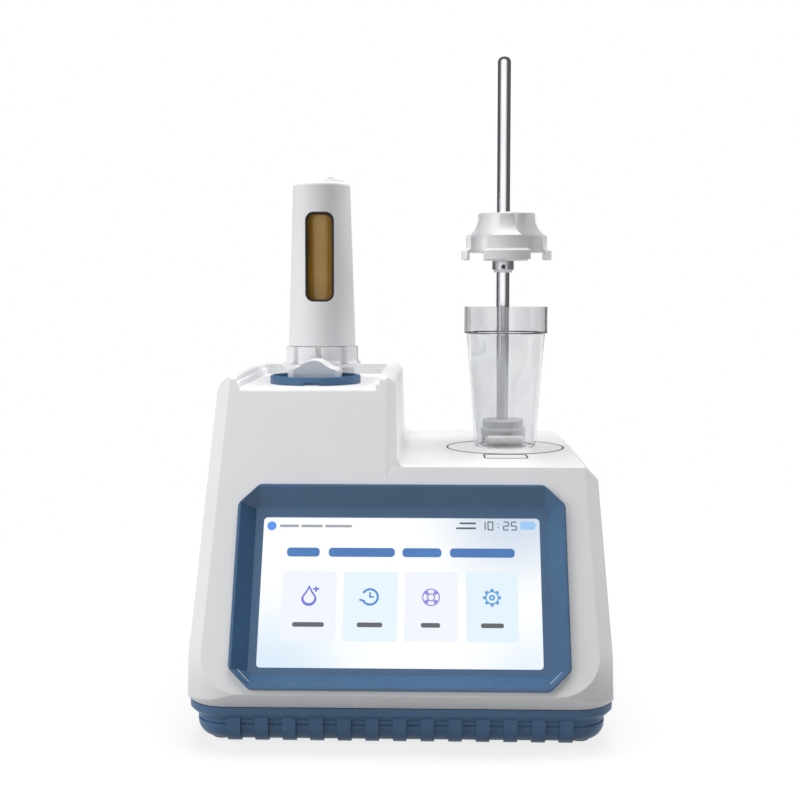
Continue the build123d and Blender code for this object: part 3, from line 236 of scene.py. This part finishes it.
def solderedBoard(name, look):
    # solder mask over copper: a brick of straight tracks shows through a green lacquer
    material, tree, place = startMaterial(name)
    bricks = addNode(tree, "TexBrick", {"Vector": place, "Scale": 1 / (look["pitch"] * mm),
                                        "Mortar Size": look["gap"], "Color1": hexColour(look["mask"]),
                                        "Color2": hexColour(look["shade"]),
                                        "Mortar": hexColour(look["track"])})
    bump = addNode(tree, "Bump", {"Height": bricks.outputs["Fac"], "Strength": look["strength"],
                                  "Distance": look["depth"] * mm})
    endMaterial(tree, {"Base Color": bricks.outputs["Color"], "Roughness": look["roughness"]},
                bump.outputs["Normal"])
    return material


materials = {name: mouldedPlastic(name, look) for name, look in plastics.items()}
materials.update({name: workedMetal(name, look) for name, look in metals.items()})
materials.update({name: clearSolid(name, look) for name, look in clears.items()})
materials.update({name: powderCoat(name, look) for name, look in coats.items()})
materials["solderedBoard"] = solderedBoard("solderedBoard", board)
print("materials made:", len(materials))

# the finish of each CAD node, and the round on its edges in millimetres
finishes = {
    "base_tray": ("mouldedBlueAbs", 0.35), "upper_housing": ("mouldedWhiteAbs", 0.6),
    "screen_bezel": ("smoothBlueAbs", 0.25), "burette_dish": ("mouldedBlueAbs", 0.3),
    "rubber_feet": ("mouldedDarkRubber", 0), "housing_screws": ("turnedStainlessSteel", 0),
    "touch_glass": ("floatGlass", 0), "display_module": ("pressedSteelSheet", 0.3),
    "rod_foot": ("mouldedPaleNylon", 0.2), "stand_rod": ("polishedStainlessSteel", 0),
    "head_bush": ("turnedStainlessSteel", 0.2), "bush_screw": ("blackenedScrewSteel", 0),
    "titration_head": ("machinedWhiteAcetal", 0.35), "beaker": ("mouldedClearPolystyrene", 0),
    "stir_bar": ("turnedWhitePtfe", 0), "valve_block": ("machinedWhiteAcetal", 0.3),
    "valve_core": ("firedWhiteCeramic", 0), "burette_foot": ("mouldedPaleNylon", 0.3),
    "burette_flange": ("mouldedWhitePolypropylene", 0.3), "clamp_collar": ("mouldedWhitePolypropylene", 0.4),
    "burette_cover": ("mouldedWhitePolypropylene", 0.3), "burette_barrel": ("drawnAmberGlass", 0),
    "piston": ("turnedWhitePtfe", 0.2), "piston_seal": ("mouldedDarkRubber", 0.3),
    "piston_rod": ("turnedStainlessSteel", 0.2), "burette_cap": ("mouldedWhitePolypropylene", 0.2),
    "cap_knob": ("mouldedWhitePolypropylene", 0.2), "drive_frame": ("brushedAluminium", 0.3),
    "top_plate": ("brushedAluminium", 0.3), "guide_rods": ("polishedStainlessSteel", 0),
    "stepper_motor": ("powderCoatedBlackMotor", 0.4), "lead_screw": ("turnedStainlessSteel", 0),
    "pusher": ("brushedAluminium", 0.3), "stirrer_bracket": ("brushedAluminium", 0.3),
    "stirrer_motor": ("powderCoatedBlackMotor", 0.4), "magnet_holder": ("mouldedGreyPhenolic", 0.3),
    "drive_magnets": ("nickelPlatedBrass", 0.2), "main_board": ("solderedBoard", 0),
    "power_supply": ("pressedSteelSheet", 0.4), "rear_panel": ("powderCoatedGreyPanel", 0),
    "panel_screws": ("turnedStainlessSteel", 0), "power_inlet": ("mouldedBlackNylon", 0.2),
    "switch_frame": ("mouldedBlackNylon", 0.2), "switch_rocker": ("mouldedBlackNylon", 0.2),
    "electrode_sockets": ("nickelPlatedBrass", 0), "data_sockets": ("pressedSteelSheet", 0),
}


rounding = dict(weld=0.001, segments=3, sharp=25)  # millimetres, steps round an edge, degrees


def dress(name, finish, edge):
    # welds the node's loose triangles in a modifier, rounds its sharp edges and evens the shading
    piece = nodes[name]
    piece.data.materials.clear()
    piece.data.materials.append(materials[finish])
    piece.visible_shadow = finish not in clears
    if edge:
        weld = piece.modifiers.new("weld", "WELD")
        weld.merge_threshold = rounding["weld"] * mm
        bevel = piece.modifiers.new("edges", "BEVEL")
        bevel.width = edge * mm
        bevel.segments = rounding["segments"]
        bevel.limit_method = "ANGLE"
        bevel.angle_limit = radians(rounding["sharp"])
        bevel.use_clamp_overlap = True
        even = piece.modifiers.new("shading", "WEIGHTED_NORMAL")
        even.keep_sharp = False


for name, (finish, edge) in finishes.items():
    dress(name, finish, edge)
print("CAD nodes dressed:", len(finishes))


joining = dict(doubles=0.0005, slivers=0.0002)  # millimetres


def surfaceMesh(name, points, closeRows):
    # a grid of points (rows, columns, xyz) in millimetres becomes quads, closed across the columns and, where
    # asked, from the last row to the first; doubles at poles are merged and the faces point outwards
    rows, columns = points.shape[:2]
    index = np.arange(rows * columns).reshape(rows, columns)
    down, across = np.roll(index, -1, axis=0), np.roll(index, -1, axis=1)
    both = np.roll(down, -1, axis=1)
    quads = np.stack([index, across, both, down], axis=-1)[:rows if closeRows else rows - 1].reshape(-1, 4)
    mesh = bpy.data.meshes.new(name)
    mesh.from_pydata((points.reshape(-1, 3) * mm).tolist(), [], quads.tolist())
    built = bmesh.new()
    built.from_mesh(mesh)
    bmesh.ops.remove_doubles(built, verts=built.verts, dist=joining["doubles"] * mm)
    bmesh.ops.dissolve_degenerate(built, dist=joining["slivers"] * mm, edges=built.edges)
    bmesh.ops.recalc_face_normals(built, faces=built.faces)
    built.to_mesh(mesh)
    built.free()
    return mesh


def makePiece(name, grids, material, body, closeRows=True):
    # one or more closed surfaces become one piece that rides a body
    whole = bmesh.new()
    for points in grids:
        layer = surfaceMesh(name, points, closeRows)
        whole.from_mesh(layer)
        bpy.data.meshes.remove(layer)
    mesh = bpy.data.meshes.new(name)
    whole.to_mesh(mesh)
    whole.free()
    mesh.materials.append(material)
    piece = bpy.data.objects.new(name, mesh)
    bpy.context.scene.collection.objects.link(piece)
    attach(piece, body)
    return piece


def roundedOutline(centre, width, high, radius, steps=6):
    # four quarter circles, joined by the straight sides between them
    quarter = np.linspace(0, pi / 2, steps)
    turns = (quarter[None, :] + (pi / 2) * np.arange(4)[:, None]).ravel()
    reachX = np.repeat(np.array([1, -1, -1, 1]) * (width / 2 - radius), steps)
    reachY = np.repeat(np.array([1, 1, -1, -1]) * (high / 2 - radius), steps)
    return np.stack([centre[0] + reachX + radius * np.cos(turns),
                     centre[1] + reachY + radius * np.sin(turns)], -1)


def circleOutline(centre, radius, steps=48):
    # radius times (cosine, sine) of the turn
    turns = 2 * pi * np.arange(steps) / steps
    return np.stack([centre[0] + radius * np.cos(turns), centre[1] + radius * np.sin(turns)], -1)


def layerGrid(outer, inner, low, high, carry):
    # a flat layer between two outlines: inner low, outer low, outer high, inner high
    inner = np.broadcast_to(inner, outer.shape)
    rows = [(inner, low), (outer, low), (outer, high), (inner, high)]
    return np.stack([carry(line[:, 0], line[:, 1], np.full(len(line), out)) for line, out in rows])


# the sloping front carries the display; the lit picture lies on the back of its glass
face = dict(y=-121.1, z=45.4, tilt=27.45, glassBack=-5.6)
pixels = dict(glow=30.0, unlit="#101112", roughness=0.3, strength=1.0)
picture = dict(layer=0.03, thick=0.03, step=0.04)


def onFace(u, s, out):
    # a point of the sloping front: u to the right, s up the slope, out along its normal
    tilt = radians(face["tilt"])
    return np.stack([u, face["y"] + s * sin(tilt) - out * cos(tilt),
                     face["z"] + s * cos(tilt) + out * sin(tilt)], -1)


def litPixels(name, look):
    # liquid-crystal pixels behind glass give their colour as light; soft round fades may cross the picture
    material, tree, place = startMaterial(name)
    glow = addNode(tree, "TexNoise", {"Vector": place, "Scale": 1 / (pixels["glow"] * mm), "Detail": 1.0})
    tone = addNode(tree, "ValToRGB", {"Fac": glow.outputs["Fac"]},
                   stops=[(noiseLow, look["dark"]), (noiseHigh, look["light"])])
    colour = tone.outputs["Color"]
    for centre, near, far, tint in look.get("fades", ()):
        point = onFace(np.array([centre[0]]), np.array([centre[1]]), np.array([0.0]))[0] * mm
        away = addNode(tree, "VectorMath", {0: place, 1: point.tolist()}, operation="DISTANCE")
        share = addNode(tree, "MapRange", {"Value": away.outputs["Value"], "From Min": near * mm,
                                           "From Max": far * mm, "To Min": 1.0, "To Max": 0.0},
                        interpolation_type="SMOOTHSTEP")
        faded = addNode(tree, "MixRGB", {0: share.outputs["Result"], 1: colour, 2: hexColour(tint)})
        colour = faded.outputs["Color"]
    endMaterial(tree, {"Base Color": hexColour(pixels["unlit"]), "Roughness": pixels["roughness"],
                       "Emission Color": colour, "Emission Strength": pixels["strength"]})
    return material


def drawOnScreen(name, shapes, look):
    # shapes are pairs of outlines, outer and inner, in u and s; each becomes a thin raised layer
    low = face["glassBack"] + picture["layer"] + look["level"] * picture["step"]
    layers = [layerGrid(outer, inner, low, low + picture["thick"], onFace) for outer, inner in shapes]
    lit = litPixels("lit" + name[0].upper() + name[1:], look)
    return makePiece(name, layers, lit, "machine")


def plate(left, right, low, high, radius):
    # a rounded rectangle, filled from its middle
    centre = ((left + right) / 2, (low + high) / 2)
    return roundedOutline(centre, right - left, high - low, radius), np.array(centre)


def ring(centre, outer, inner, steps=48):
    return circleOutline(centre, outer, steps), circleOutline(centre, inner, steps)


def arcBand(centre, outer, inner, start, sweep, steps=16):
    # a closed outline: out along the outer arc and back along the inner one, which may vary along the turn
    turns = start + sweep * np.linspace(0, 1, steps)
    there = np.stack([np.cos(turns), np.sin(turns)], -1)
    middle = there * (outer + inner) / 2
    return (np.concatenate([there * outer, (there * inner)[::-1]]) + np.array(centre),
            np.concatenate([middle, middle[::-1]]) + np.array(centre))


def bar(start, end, width):
    # a straight stroke with square ends
    start, end = np.array(start, float), np.array(end, float)
    along = (end - start) / np.linalg.norm(end - start)
    side = np.array([-along[1], along[0]]) * width / 2
    return np.array([start - side, end - side, end + side, start + side]), (start + end) / 2


def lines(spans, low, high, rounded=0.4):
    # plain rounded bars in place of lines of lettering
    return [plate(left, right, low, high, (high - low) * rounded) for left, right in spans]


background = dict(left=-77.8, right=77.8, low=-0.6, high=85.0, corner=2.0, light="#FCFDFE", dark="#FAFBFD",
                  fades=(((62, 92), 5, 60, "#C9D6E8"), ((-70, -8), 5, 62, "#D5E6F5"),
                         ((70, -10), 5, 45, "#E4EDF8")), level=0)
sheet = plate(background["left"], background["right"], background["low"], background["high"],
              background["corner"])
drawOnScreen("screenBackground", [sheet], background)

tiles = dict(left=(-65.3, -31.4, 2.3, 36.0), right=(-35.2, -1.5, 31.5, 64.4), low=14.8, high=53.6, corner=1.6,
             tones=("#EDF0F8", "#E4F1FC", "#EDF0F8", "#E1EFFB"), level=1)
for k, tone in enumerate(tiles["tones"]):
    tile = plate(tiles["left"][k], tiles["right"][k], tiles["low"], tiles["high"], tiles["corner"])
    drawOnScreen(f"screenTile{k + 1}", [tile], dict(light=tone, dark=tone, level=tiles["level"]))

title = dict(spans=((-63.6, -45.3), (-40.3, -3.4), (0.8, 22.5), (27.2, 63.1)), low=62.0, high=67.2,
             light="#0F6DB8", dark="#0B62AB", level=1)
drawOnScreen("screenTitle", lines(title["spans"], title["low"], title["high"]), title)
captions = dict(spans=((-58.9, -41.6), (-23.6, -9.7), (11.3, 21.8), (44.0, 56.4)), low=22.6, high=25.2,
                light="#4A4A52", dark="#42424A", level=2)
drawOnScreen("screenCaptions", lines(captions["spans"], captions["low"], captions["high"]), captions)
print("screen laid out")

signs = dict(radius=4.9, line=1.25, s=39.4)  # the same for all four signs: outer radius, line width, height


def dropOutline(centre, radius, draw=0.75, sink=0.25, steps=40):
    # a falling drop: a circle whose upper half narrows and rises with the square and the cube of the sine
    turns = np.linspace(0, 2 * pi, steps, endpoint=False)
    lift = np.clip(np.sin(turns), 0, 1)
    return np.stack([centre[0] + radius * np.cos(turns) * (1 - draw * lift ** 2),
                     centre[1] + radius * (np.sin(turns) + draw * lift ** 3) - sink * radius], -1)


def gearOutline(centre, radius, teeth=8, middle=0.90, tooth=0.12, steep=2.5, steps=96):
    # the radius steps between root and tip as a clipped cosine
    turns = np.linspace(0, 2 * pi, steps, endpoint=False)
    reach = radius * (middle + tooth * np.clip(steep * np.cos(teeth * turns), -1, 1))
    return np.stack([centre[0] + reach * np.cos(turns), centre[1] + reach * np.sin(turns)], -1)


def dropSign(look):
    # a drop drawn as a line, with a small plus above its right shoulder
    u, s = look["u"], signs["s"]
    centre, radius = (u - look["aside"], s), look["share"] * signs["radius"]
    plusX, plusY = u + look["plus"][0], s + look["plus"][1]
    left, right = (u + edge for edge in look["plusAcross"])
    low, high = (s + edge for edge in look["plusUp"])
    return [(dropOutline(centre, radius), dropOutline(centre, radius - signs["line"])),
            bar((left, plusY), (right, plusY), look["stroke"]),
            bar((plusX, low), (plusX, high), look["stroke"])]


def clockSign(look):
    # a ring open on the left, two hands and a stroke at its lower end
    u, s, radius = look["u"], signs["s"], signs["radius"]
    rim = arcBand((u, s), radius, radius - signs["line"], radians(look["start"]), radians(look["sweep"]), 40)
    up, along, tuck = look["upHand"], look["sideHand"], look["tuck"]
    (outX, outY), (inX, inY) = look["tail"]
    return [rim, bar((u, s - tuck), (u, s + up), look["hand"]),
            bar((u - tuck, s), (u + along, s), look["hand"]),
            bar((u - radius + outX, s + outY), (u - radius + inX, s + inY), look["stroke"])]


def helpSign(look):
    # a lifebuoy: two rings with four bands between them
    centre, radius = (look["u"], signs["s"]), signs["radius"]
    hub, line = radius * look["hub"], look["share"] * signs["line"]
    first, band = radians(look["first"]), radians(look["band"])
    bands = [arcBand(centre, radius - look["outerGap"], hub + look["innerGap"], first + k * pi / 2, band, 8)
             for k in range(4)]
    return [ring(centre, radius, radius - line), ring(centre, hub, hub - line)] + bands


def gearSign(look):
    # a toothed rim with a small ring in its middle
    centre, radius = (look["u"], signs["s"]), signs["radius"]
    rim = (gearOutline(centre, radius), circleOutline(centre, radius * look["rim"], 96))
    return [rim, ring(centre, radius * look["hub"], radius * look["bore"])]


drop = dict(u=-49.7, aside=0.6, share=0.86, plus=(3.2, 4.3), plusAcross=(1.5, 4.9), plusUp=(2.6, 5.6),
            stroke=1.0, light="#6268DC", dark="#555CD4", level=2)
drawOnScreen("screenDropSign", dropSign(drop), drop)
clock = dict(u=-16.7, start=-150, sweep=300, upHand=2.7, sideHand=2.3, tuck=0.3, hand=0.95, stroke=1.1,
             tail=((-0.9, -1.5), (2.1, -2.4)), light="#3389D8", dark="#2578CC", level=2)
drawOnScreen("screenClockSign", clockSign(clock), clock)
buoy = dict(u=16.8, hub=0.46, share=0.55, first=28, band=34, outerGap=0.7, innerGap=0.1,
            light="#827CDC", dark="#726CD2", level=2)
drawOnScreen("screenHelpSign", helpSign(buoy), buoy)
gear = dict(u=50.2, rim=0.62, hub=0.34, bore=0.12, light="#469DE0", dark="#378DD2", level=2)
drawOnScreen("screenGearSign", gearSign(gear), gear)

# the row along the top: a round sign, a line, a date, a time in plain numbers and a cell
badge = dict(at=(-72.8, 79.7), radius=2.6, light="#4A90F4", dark="#3A80EA", level=1)
drawOnScreen("screenRoundSign", [(circleOutline(badge["at"], badge["radius"]), np.array(badge["at"]))], badge)
greeting = dict(spans=((-68.3, -57.5), (-56.2, -44.0), (-42.8, -27.7)), low=79.0, high=80.5,
                light="#9A9FA8", dark="#90959E", level=1)
drawOnScreen("screenGreeting", lines(greeting["spans"], greeting["low"], greeting["high"]), greeting)
segments = {"0": "abcdef", "1": "bc", "2": "abged", "5": "afgcd"}
strokePlaces = {"a": ((0, 2), (1, 2)), "b": ((1, 2), (1, 1)), "c": ((1, 1), (1, 0)), "d": ((0, 0), (1, 0)),
                "e": ((0, 0), (0, 1)), "f": ((0, 1), (0, 2)), "g": ((0, 1), (1, 1))}


def numbers(look):
    # seven-stroke numbers; a colon is two dots
    shapes = []
    wide, high, width, low = look["wide"], look["high"], look["stroke"], look["low"]
    for k, sign in enumerate(look["text"]):
        near = look["left"] + k * look["pitch"]
        if sign == ":":
            middle = near + wide / 2
            for dot in (low + share * high for share in look["dots"]):
                shapes.append(plate(middle - width / 2, middle + width / 2, dot, dot + width,
                                    width * look["rounded"]))
        for key in segments.get(sign, ""):
            ends = [(near + x * wide, low + y * high / 2) for x, y in strokePlaces[key]]
            shapes.append(bar(*ends, width))
    return shapes


time = dict(text="10:25", left=44.2, low=78.0, wide=2.7, high=4.6, pitch=4.35, stroke=0.65, dots=(0.25, 0.65),
            rounded=0.2, light="#454A54", dark="#3A3F48", level=1)
date = (dict(spans=((32.6, 41.8),), low=81.2, high=82.3), dict(spans=((30.6, 41.8),), low=78.3, high=79.4))
dateLines = [row for part in date for row in lines(part["spans"], part["low"], part["high"])]
drawOnScreen("screenTime", numbers(time) + dateLines, time)
cell = dict(body=(66.5, 74.6, 78.2, 82.9, 0.9), end=(74.7, 75.4, 79.6, 81.5, 0.25),
            light="#98C6F4", dark="#88BBEC", level=1)
drawOnScreen("screenCell", [plate(*cell["body"]), plate(*cell["end"])], cell)
print("screen made")


# prints on the platform: a ring round the beaker and the frame of a label
prints = dict(z=145.8, thick=0.03, lift=0.01, light="#26272A", dark="#1E1F22", roughness=0.55, spread=1.5)
ringMark = dict(x=63.4, y=27.0, radius=37.5, side=1.1, front=3.0, gap=27.0, steps=90)
label = dict(left=48.0, right=74.6, front=-30.0, back=-9.5, corner=3.0, side=1.1, end=2.4)


def onPlatform(x, y, out):
    return np.stack([x, y, prints["z"] + out], -1)


def screenInk(name, look):
    # screen-printed ink: thin, even and a little duller than the plastic under it
    material, tree, place = startMaterial(name)
    spread = addNode(tree, "TexNoise", {"Vector": place, "Scale": 1 / (look["spread"] * mm), "Detail": 2.0})
    tone = addNode(tree, "ValToRGB", {"Fac": spread.outputs["Fac"]},
                   stops=[(noiseLow, look["dark"]), (noiseHigh, look["light"])])
    endMaterial(tree, {"Base Color": tone.outputs["Color"], "Roughness": look["roughness"]})
    return material


def markBand(look):
    # an open ring: the gap at the back lies under the foot of the stand, and the line is bolder at the front
    # and the back than at the sides, as the square of the sine of the turn
    gap = radians(look["gap"])
    start, sweep = pi / 2 + gap, 2 * pi - 2 * gap
    turns = (start + sweep * np.linspace(0, 1, look["steps"]))[:, None]
    bold = look["side"] + (look["front"] - look["side"]) * np.sin(turns) ** 2
    return arcBand((look["x"], look["y"]), look["radius"], look["radius"] - bold, start, sweep, look["steps"])


def frameBand(look):
    # a rounded rectangle with bolder lines at the front and the back
    outer = plate(look["left"], look["right"], look["front"], look["back"], look["corner"])
    inner = plate(look["left"] + look["side"], look["right"] - look["side"], look["front"] + look["end"],
                  look["back"] - look["end"], look["corner"] - look["end"])
    return outer[0], inner[0]


ink = screenInk("screenPrintedDarkInk", prints)
low, high = prints["lift"], prints["lift"] + prints["thick"]
for name, band in (("platformRing", markBand(ringMark)), ("platformLabel", frameBand(label))):
    makePiece(name, [layerGrid(*band, low, high, onPlatform)], ink, "machine")
print("platform printed")

# a dark bead round the window of the burette: painted shade along the window's edge; the slope is that of the
# cover, which narrows from 21.5 to
# 18.3 over 104.2, so (18.3 - 21.5) / 104.2
shadeBead = dict(width=18.3, low=28.3, high=56.6, corner=5.4, bead=0.75, sunk=1.0, skirtRadius=21.5, slope=-0.0307,
            neck=3.6, bends=12, along=96, around=10)
coverMesh = nodes["burette_cover"].data
places = np.empty(3 * len(coverMesh.vertices))
coverMesh.vertices.foreach_get("co", places)
places = places.reshape(-1, 3) / mm
axisX, axisY = (places.min(axis=0) + places.max(axis=0))[:2] / 2
skirtZ = places[:, 2].min() + shadeBead["neck"]


def windowShadeBead(look):
    # a round bead just inside the edge of the window, whose flat outline (u, h) lies on the cone of the
    # cover: x = u and y = -sqrt(r^2 - u^2), and the radius r falls evenly with the height h above the skirt
    bead = look["bead"]
    line = roundedOutline((0, look["low"] + look["high"] / 2), look["width"] - 2 * bead,
                          look["high"] - 2 * bead, look["corner"] - bead, look["bends"])
    line = np.vstack([line, line[:1]])
    reach = np.concatenate([[0], np.cumsum(np.linalg.norm(np.diff(line, axis=0), axis=1))])
    evenly = np.linspace(0, reach[-1], look["along"], endpoint=False)
    line = np.stack([np.interp(evenly, reach, line[:, k]) for k in (0, 1)], -1)
    ahead = np.roll(line, -1, axis=0) - np.roll(line, 1, axis=0)
    ahead /= np.linalg.norm(ahead, axis=1)[:, None]
    outward = np.stack([ahead[:, 1], -ahead[:, 0]], -1)
    turns = np.linspace(0, 2 * pi, look["around"], endpoint=False)
    flat = line[:, None] + bead * np.cos(turns)[:, None] * outward[:, None]
    radius = look["skirtRadius"] + look["slope"] * line[:, 1]
    deep = np.sqrt(radius ** 2 - line[:, 0] ** 2)[:, None] - look["sunk"] + bead * np.sin(turns)
    return np.stack([axisX + flat[..., 0], axisY - deep, skirtZ + flat[..., 1]], -1)


# the bead is dark and paints the shade along the edge of the window
makePiece("windowShadeBead", [windowShadeBead(shadeBead)], materials["mouldedDarkRubber"], "burette")
print("window sealed")

# a round web inside the corner where the tower meets the platform
web = dict(x=-1.5, y=-62.6, z=142.7, radius=2.4, rings=13, around=24)


def roundWeb(look):
    # a ball: (cos a cos b, cos a sin b, sin a) times its radius
    lean = np.linspace(-pi / 2, pi / 2, look["rings"])[:, None]
    turn = np.linspace(0, 2 * pi, look["around"], endpoint=False)[None, :]
    ball = np.stack([np.cos(lean) * np.cos(turn), np.cos(lean) * np.sin(turn), np.sin(lean) + 0 * turn], -1)
    return np.array([look["x"], look["y"], look["z"]]) + look["radius"] * ball


makePiece("cornerWeb", [roundWeb(web)], materials["mouldedWhiteAbs"], "machine",
          closeRows=False)
print("corner closed")

# the floor
stage = dict(size=6.0, plain=0.80, near=0.30, far=0.62, seen="#F6F6F6", bounce="#A2A2A2")
floorMesh = bpy.data.meshes.new("studioFloor")
half = stage["size"] / 2
floorMesh.from_pydata([(-half, -half, 0), (half, -half, 0), (half, half, 0), (-half, half, 0)], [],
                      [(0, 1, 2, 3)])
floor = bpy.data.objects.new("studioFloor", floorMesh)
bpy.context.scene.collection.objects.link(floor)


def paperFloor(name, look):
    # white paper: for the camera, and in gloss and glass, most of it is plain white and the rest takes the
    # shadow; further off it is all plain white, and the light that it throws back is held down
    material, tree, place = startMaterial(name)
    path = addNode(tree, "LightPath")
    seen = addNode(tree, "Math", {0: path.outputs["Is Camera Ray"], 1: path.outputs["Is Glossy Ray"]},
                   operation="MAXIMUM")
    seen = addNode(tree, "Math", {0: seen.outputs[0], 1: path.outputs["Is Transmission Ray"]},
                   operation="MAXIMUM")
    away = addNode(tree, "VectorMath", {0: place}, operation="LENGTH")
    plainShare = addNode(tree, "MapRange", {"Value": away.outputs["Value"], "From Min": look["near"],
                                            "From Max": look["far"], "To Min": look["plain"], "To Max": 1.0},
                         interpolation_type="SMOOTHSTEP")
    amount = addNode(tree, "Math", {0: seen.outputs[0], 1: plainShare.outputs["Result"]},
                     operation="MULTIPLY")
    tone = addNode(tree, "MixRGB", {0: seen.outputs[0], 1: hexColour(look["bounce"]),
                                    2: hexColour(look["seen"])})
    paper = addNode(tree, "BsdfDiffuse", {"Color": tone.outputs[0]})
    plain = addNode(tree, "Emission", {"Color": (1, 1, 1, 1), "Strength": 1.0})
    both = addNode(tree, "MixShader", {0: amount.outputs[0], 1: paper.outputs[0], 2: plain.outputs[0]})
    addNode(tree, "OutputMaterial", {"Surface": both.outputs[0]})
    return material


floorMesh.materials.append(paperFloor("studioPaper", stage))

# the room: cardAt points to the middle of the pale card, and the pairs are where each change starts and ends
studio = dict(fill=0.105, cardAt=(-0.22, -0.97, 0.1), cardSpan=(0.35, 0.96), glossCard=1.8, glossRoom=0.16,
              sideSpan=(0.28, 0.50), seen=1.0, darkCard=0.10)


def studioRoom(name, look):
    world = bpy.data.worlds.new(name)
    world.use_nodes = True
    sky = world.node_tree
    sky.nodes.clear()
    path = addNode(sky, "LightPath")
    towards = addNode(sky, "TexCoord").outputs["Generated"]
    # metal mirrors one tall pale card in front of the machine and a dim room around it
    onCard = addNode(sky, "VectorMath", {0: towards, 1: look["cardAt"]}, operation="DOT_PRODUCT")
    rim, middle = look["cardSpan"]
    mirrored = addNode(sky, "MapRange", {"Value": onCard.outputs["Value"], "From Min": rim,
                                         "From Max": middle, "To Min": look["glossRoom"],
                                         "To Max": look["glossCard"]}, interpolation_type="SMOOTHSTEP")
    # clear plastic sees white straight behind it and a dark card to each side, which draws its edges
    sideways = addNode(sky, "SeparateXYZ", {0: towards})
    aside = addNode(sky, "Math", {0: sideways.outputs["X"]}, operation="ABSOLUTE")
    near, far = look["sideSpan"]
    carded = addNode(sky, "MapRange", {"Value": aside.outputs[0], "From Min": near, "From Max": far,
                                       "To Min": look["seen"], "To Max": look["darkCard"]},
                     interpolation_type="SMOOTHSTEP")
    behind = addNode(sky, "Math", {0: path.outputs["Is Camera Ray"], 1: carded.outputs["Result"]},
                     operation="MAXIMUM")
    fill, gloss, shown = [addNode(sky, "Background", {"Color": (1, 1, 1, 1), "Strength": strength})
                          for strength in (look["fill"], mirrored.outputs["Result"], behind.outputs[0])]
    seen = addNode(sky, "Math", {0: path.outputs["Is Camera Ray"], 1: path.outputs["Is Transmission Ray"]},
                   operation="MAXIMUM")
    lit = addNode(sky, "MixShader", {0: path.outputs["Is Glossy Ray"], 1: fill.outputs[0],
                                     2: gloss.outputs[0]})
    mixed = addNode(sky, "MixShader", {0: seen.outputs[0], 1: lit.outputs[0], 2: shown.outputs[0]})
    addNode(sky, "OutputWorld", {"Surface": mixed.outputs[0]})
    return world


bpy.context.scene.world = studioRoom("studio", studio)
print("room made")

# softboxes light the surfaces, and neither metal nor clear plastic shows them
lamps = {
    "overheadSoftbox": dict(place=(0.05, 0.20, 1.5), aim=(0, 0, 0.15), size=(1.2, 0.9), power=25.0),
    "leftSoftbox": dict(place=(-1.5, -0.50, 0.6), aim=(0, 0, 0.15), size=(1.0, 1.2), power=16.5),
    "frontLowSoftbox": dict(place=(-0.2, -1.7, 0.08), aim=(0, 0, 0.1), size=(1.4, 0.3), power=3.6),
    "rightSoftbox": dict(place=(1.4, 0.45, 0.50), aim=(0, 0.05, 0.2), size=(0.5, 0.8), power=9.5),
}


def softbox(name, look):
    light = bpy.data.lights.new(name, "AREA")
    light.shape = "RECTANGLE"
    light.size, light.size_y = look["size"]
    light.energy = look["power"]
    holder = bpy.data.objects.new(name, light)
    holder.location = look["place"]
    toward = [a - p for a, p in zip(look["aim"], look["place"])]
    holder.rotation_euler = Vector(toward).to_track_quat("-Z", "Y").to_euler()
    holder.visible_glossy = False
    holder.visible_transmission = False
    bpy.context.scene.collection.objects.link(holder)


for name, lamp in lamps.items():
    softbox(name, lamp)

view = dict(place=(0.019507, -0.789182, 0.246003), down=4.918, left=1.636, lens=57.66, film=36.0, near=0.01)
lens = bpy.data.cameras.new("camera")
lens.lens = view["lens"]
lens.sensor_width = view["film"]
lens.clip_start = view["near"]
camera = bpy.data.objects.new("camera", lens)
camera.location = view["place"]
camera.rotation_euler = (radians(90 - view["down"]), 0, radians(view["left"]))
bpy.context.scene.collection.objects.link(camera)
bpy.context.scene.camera = camera
bpy.context.scene.view_settings.view_transform = "Standard"
print("stage and camera set")
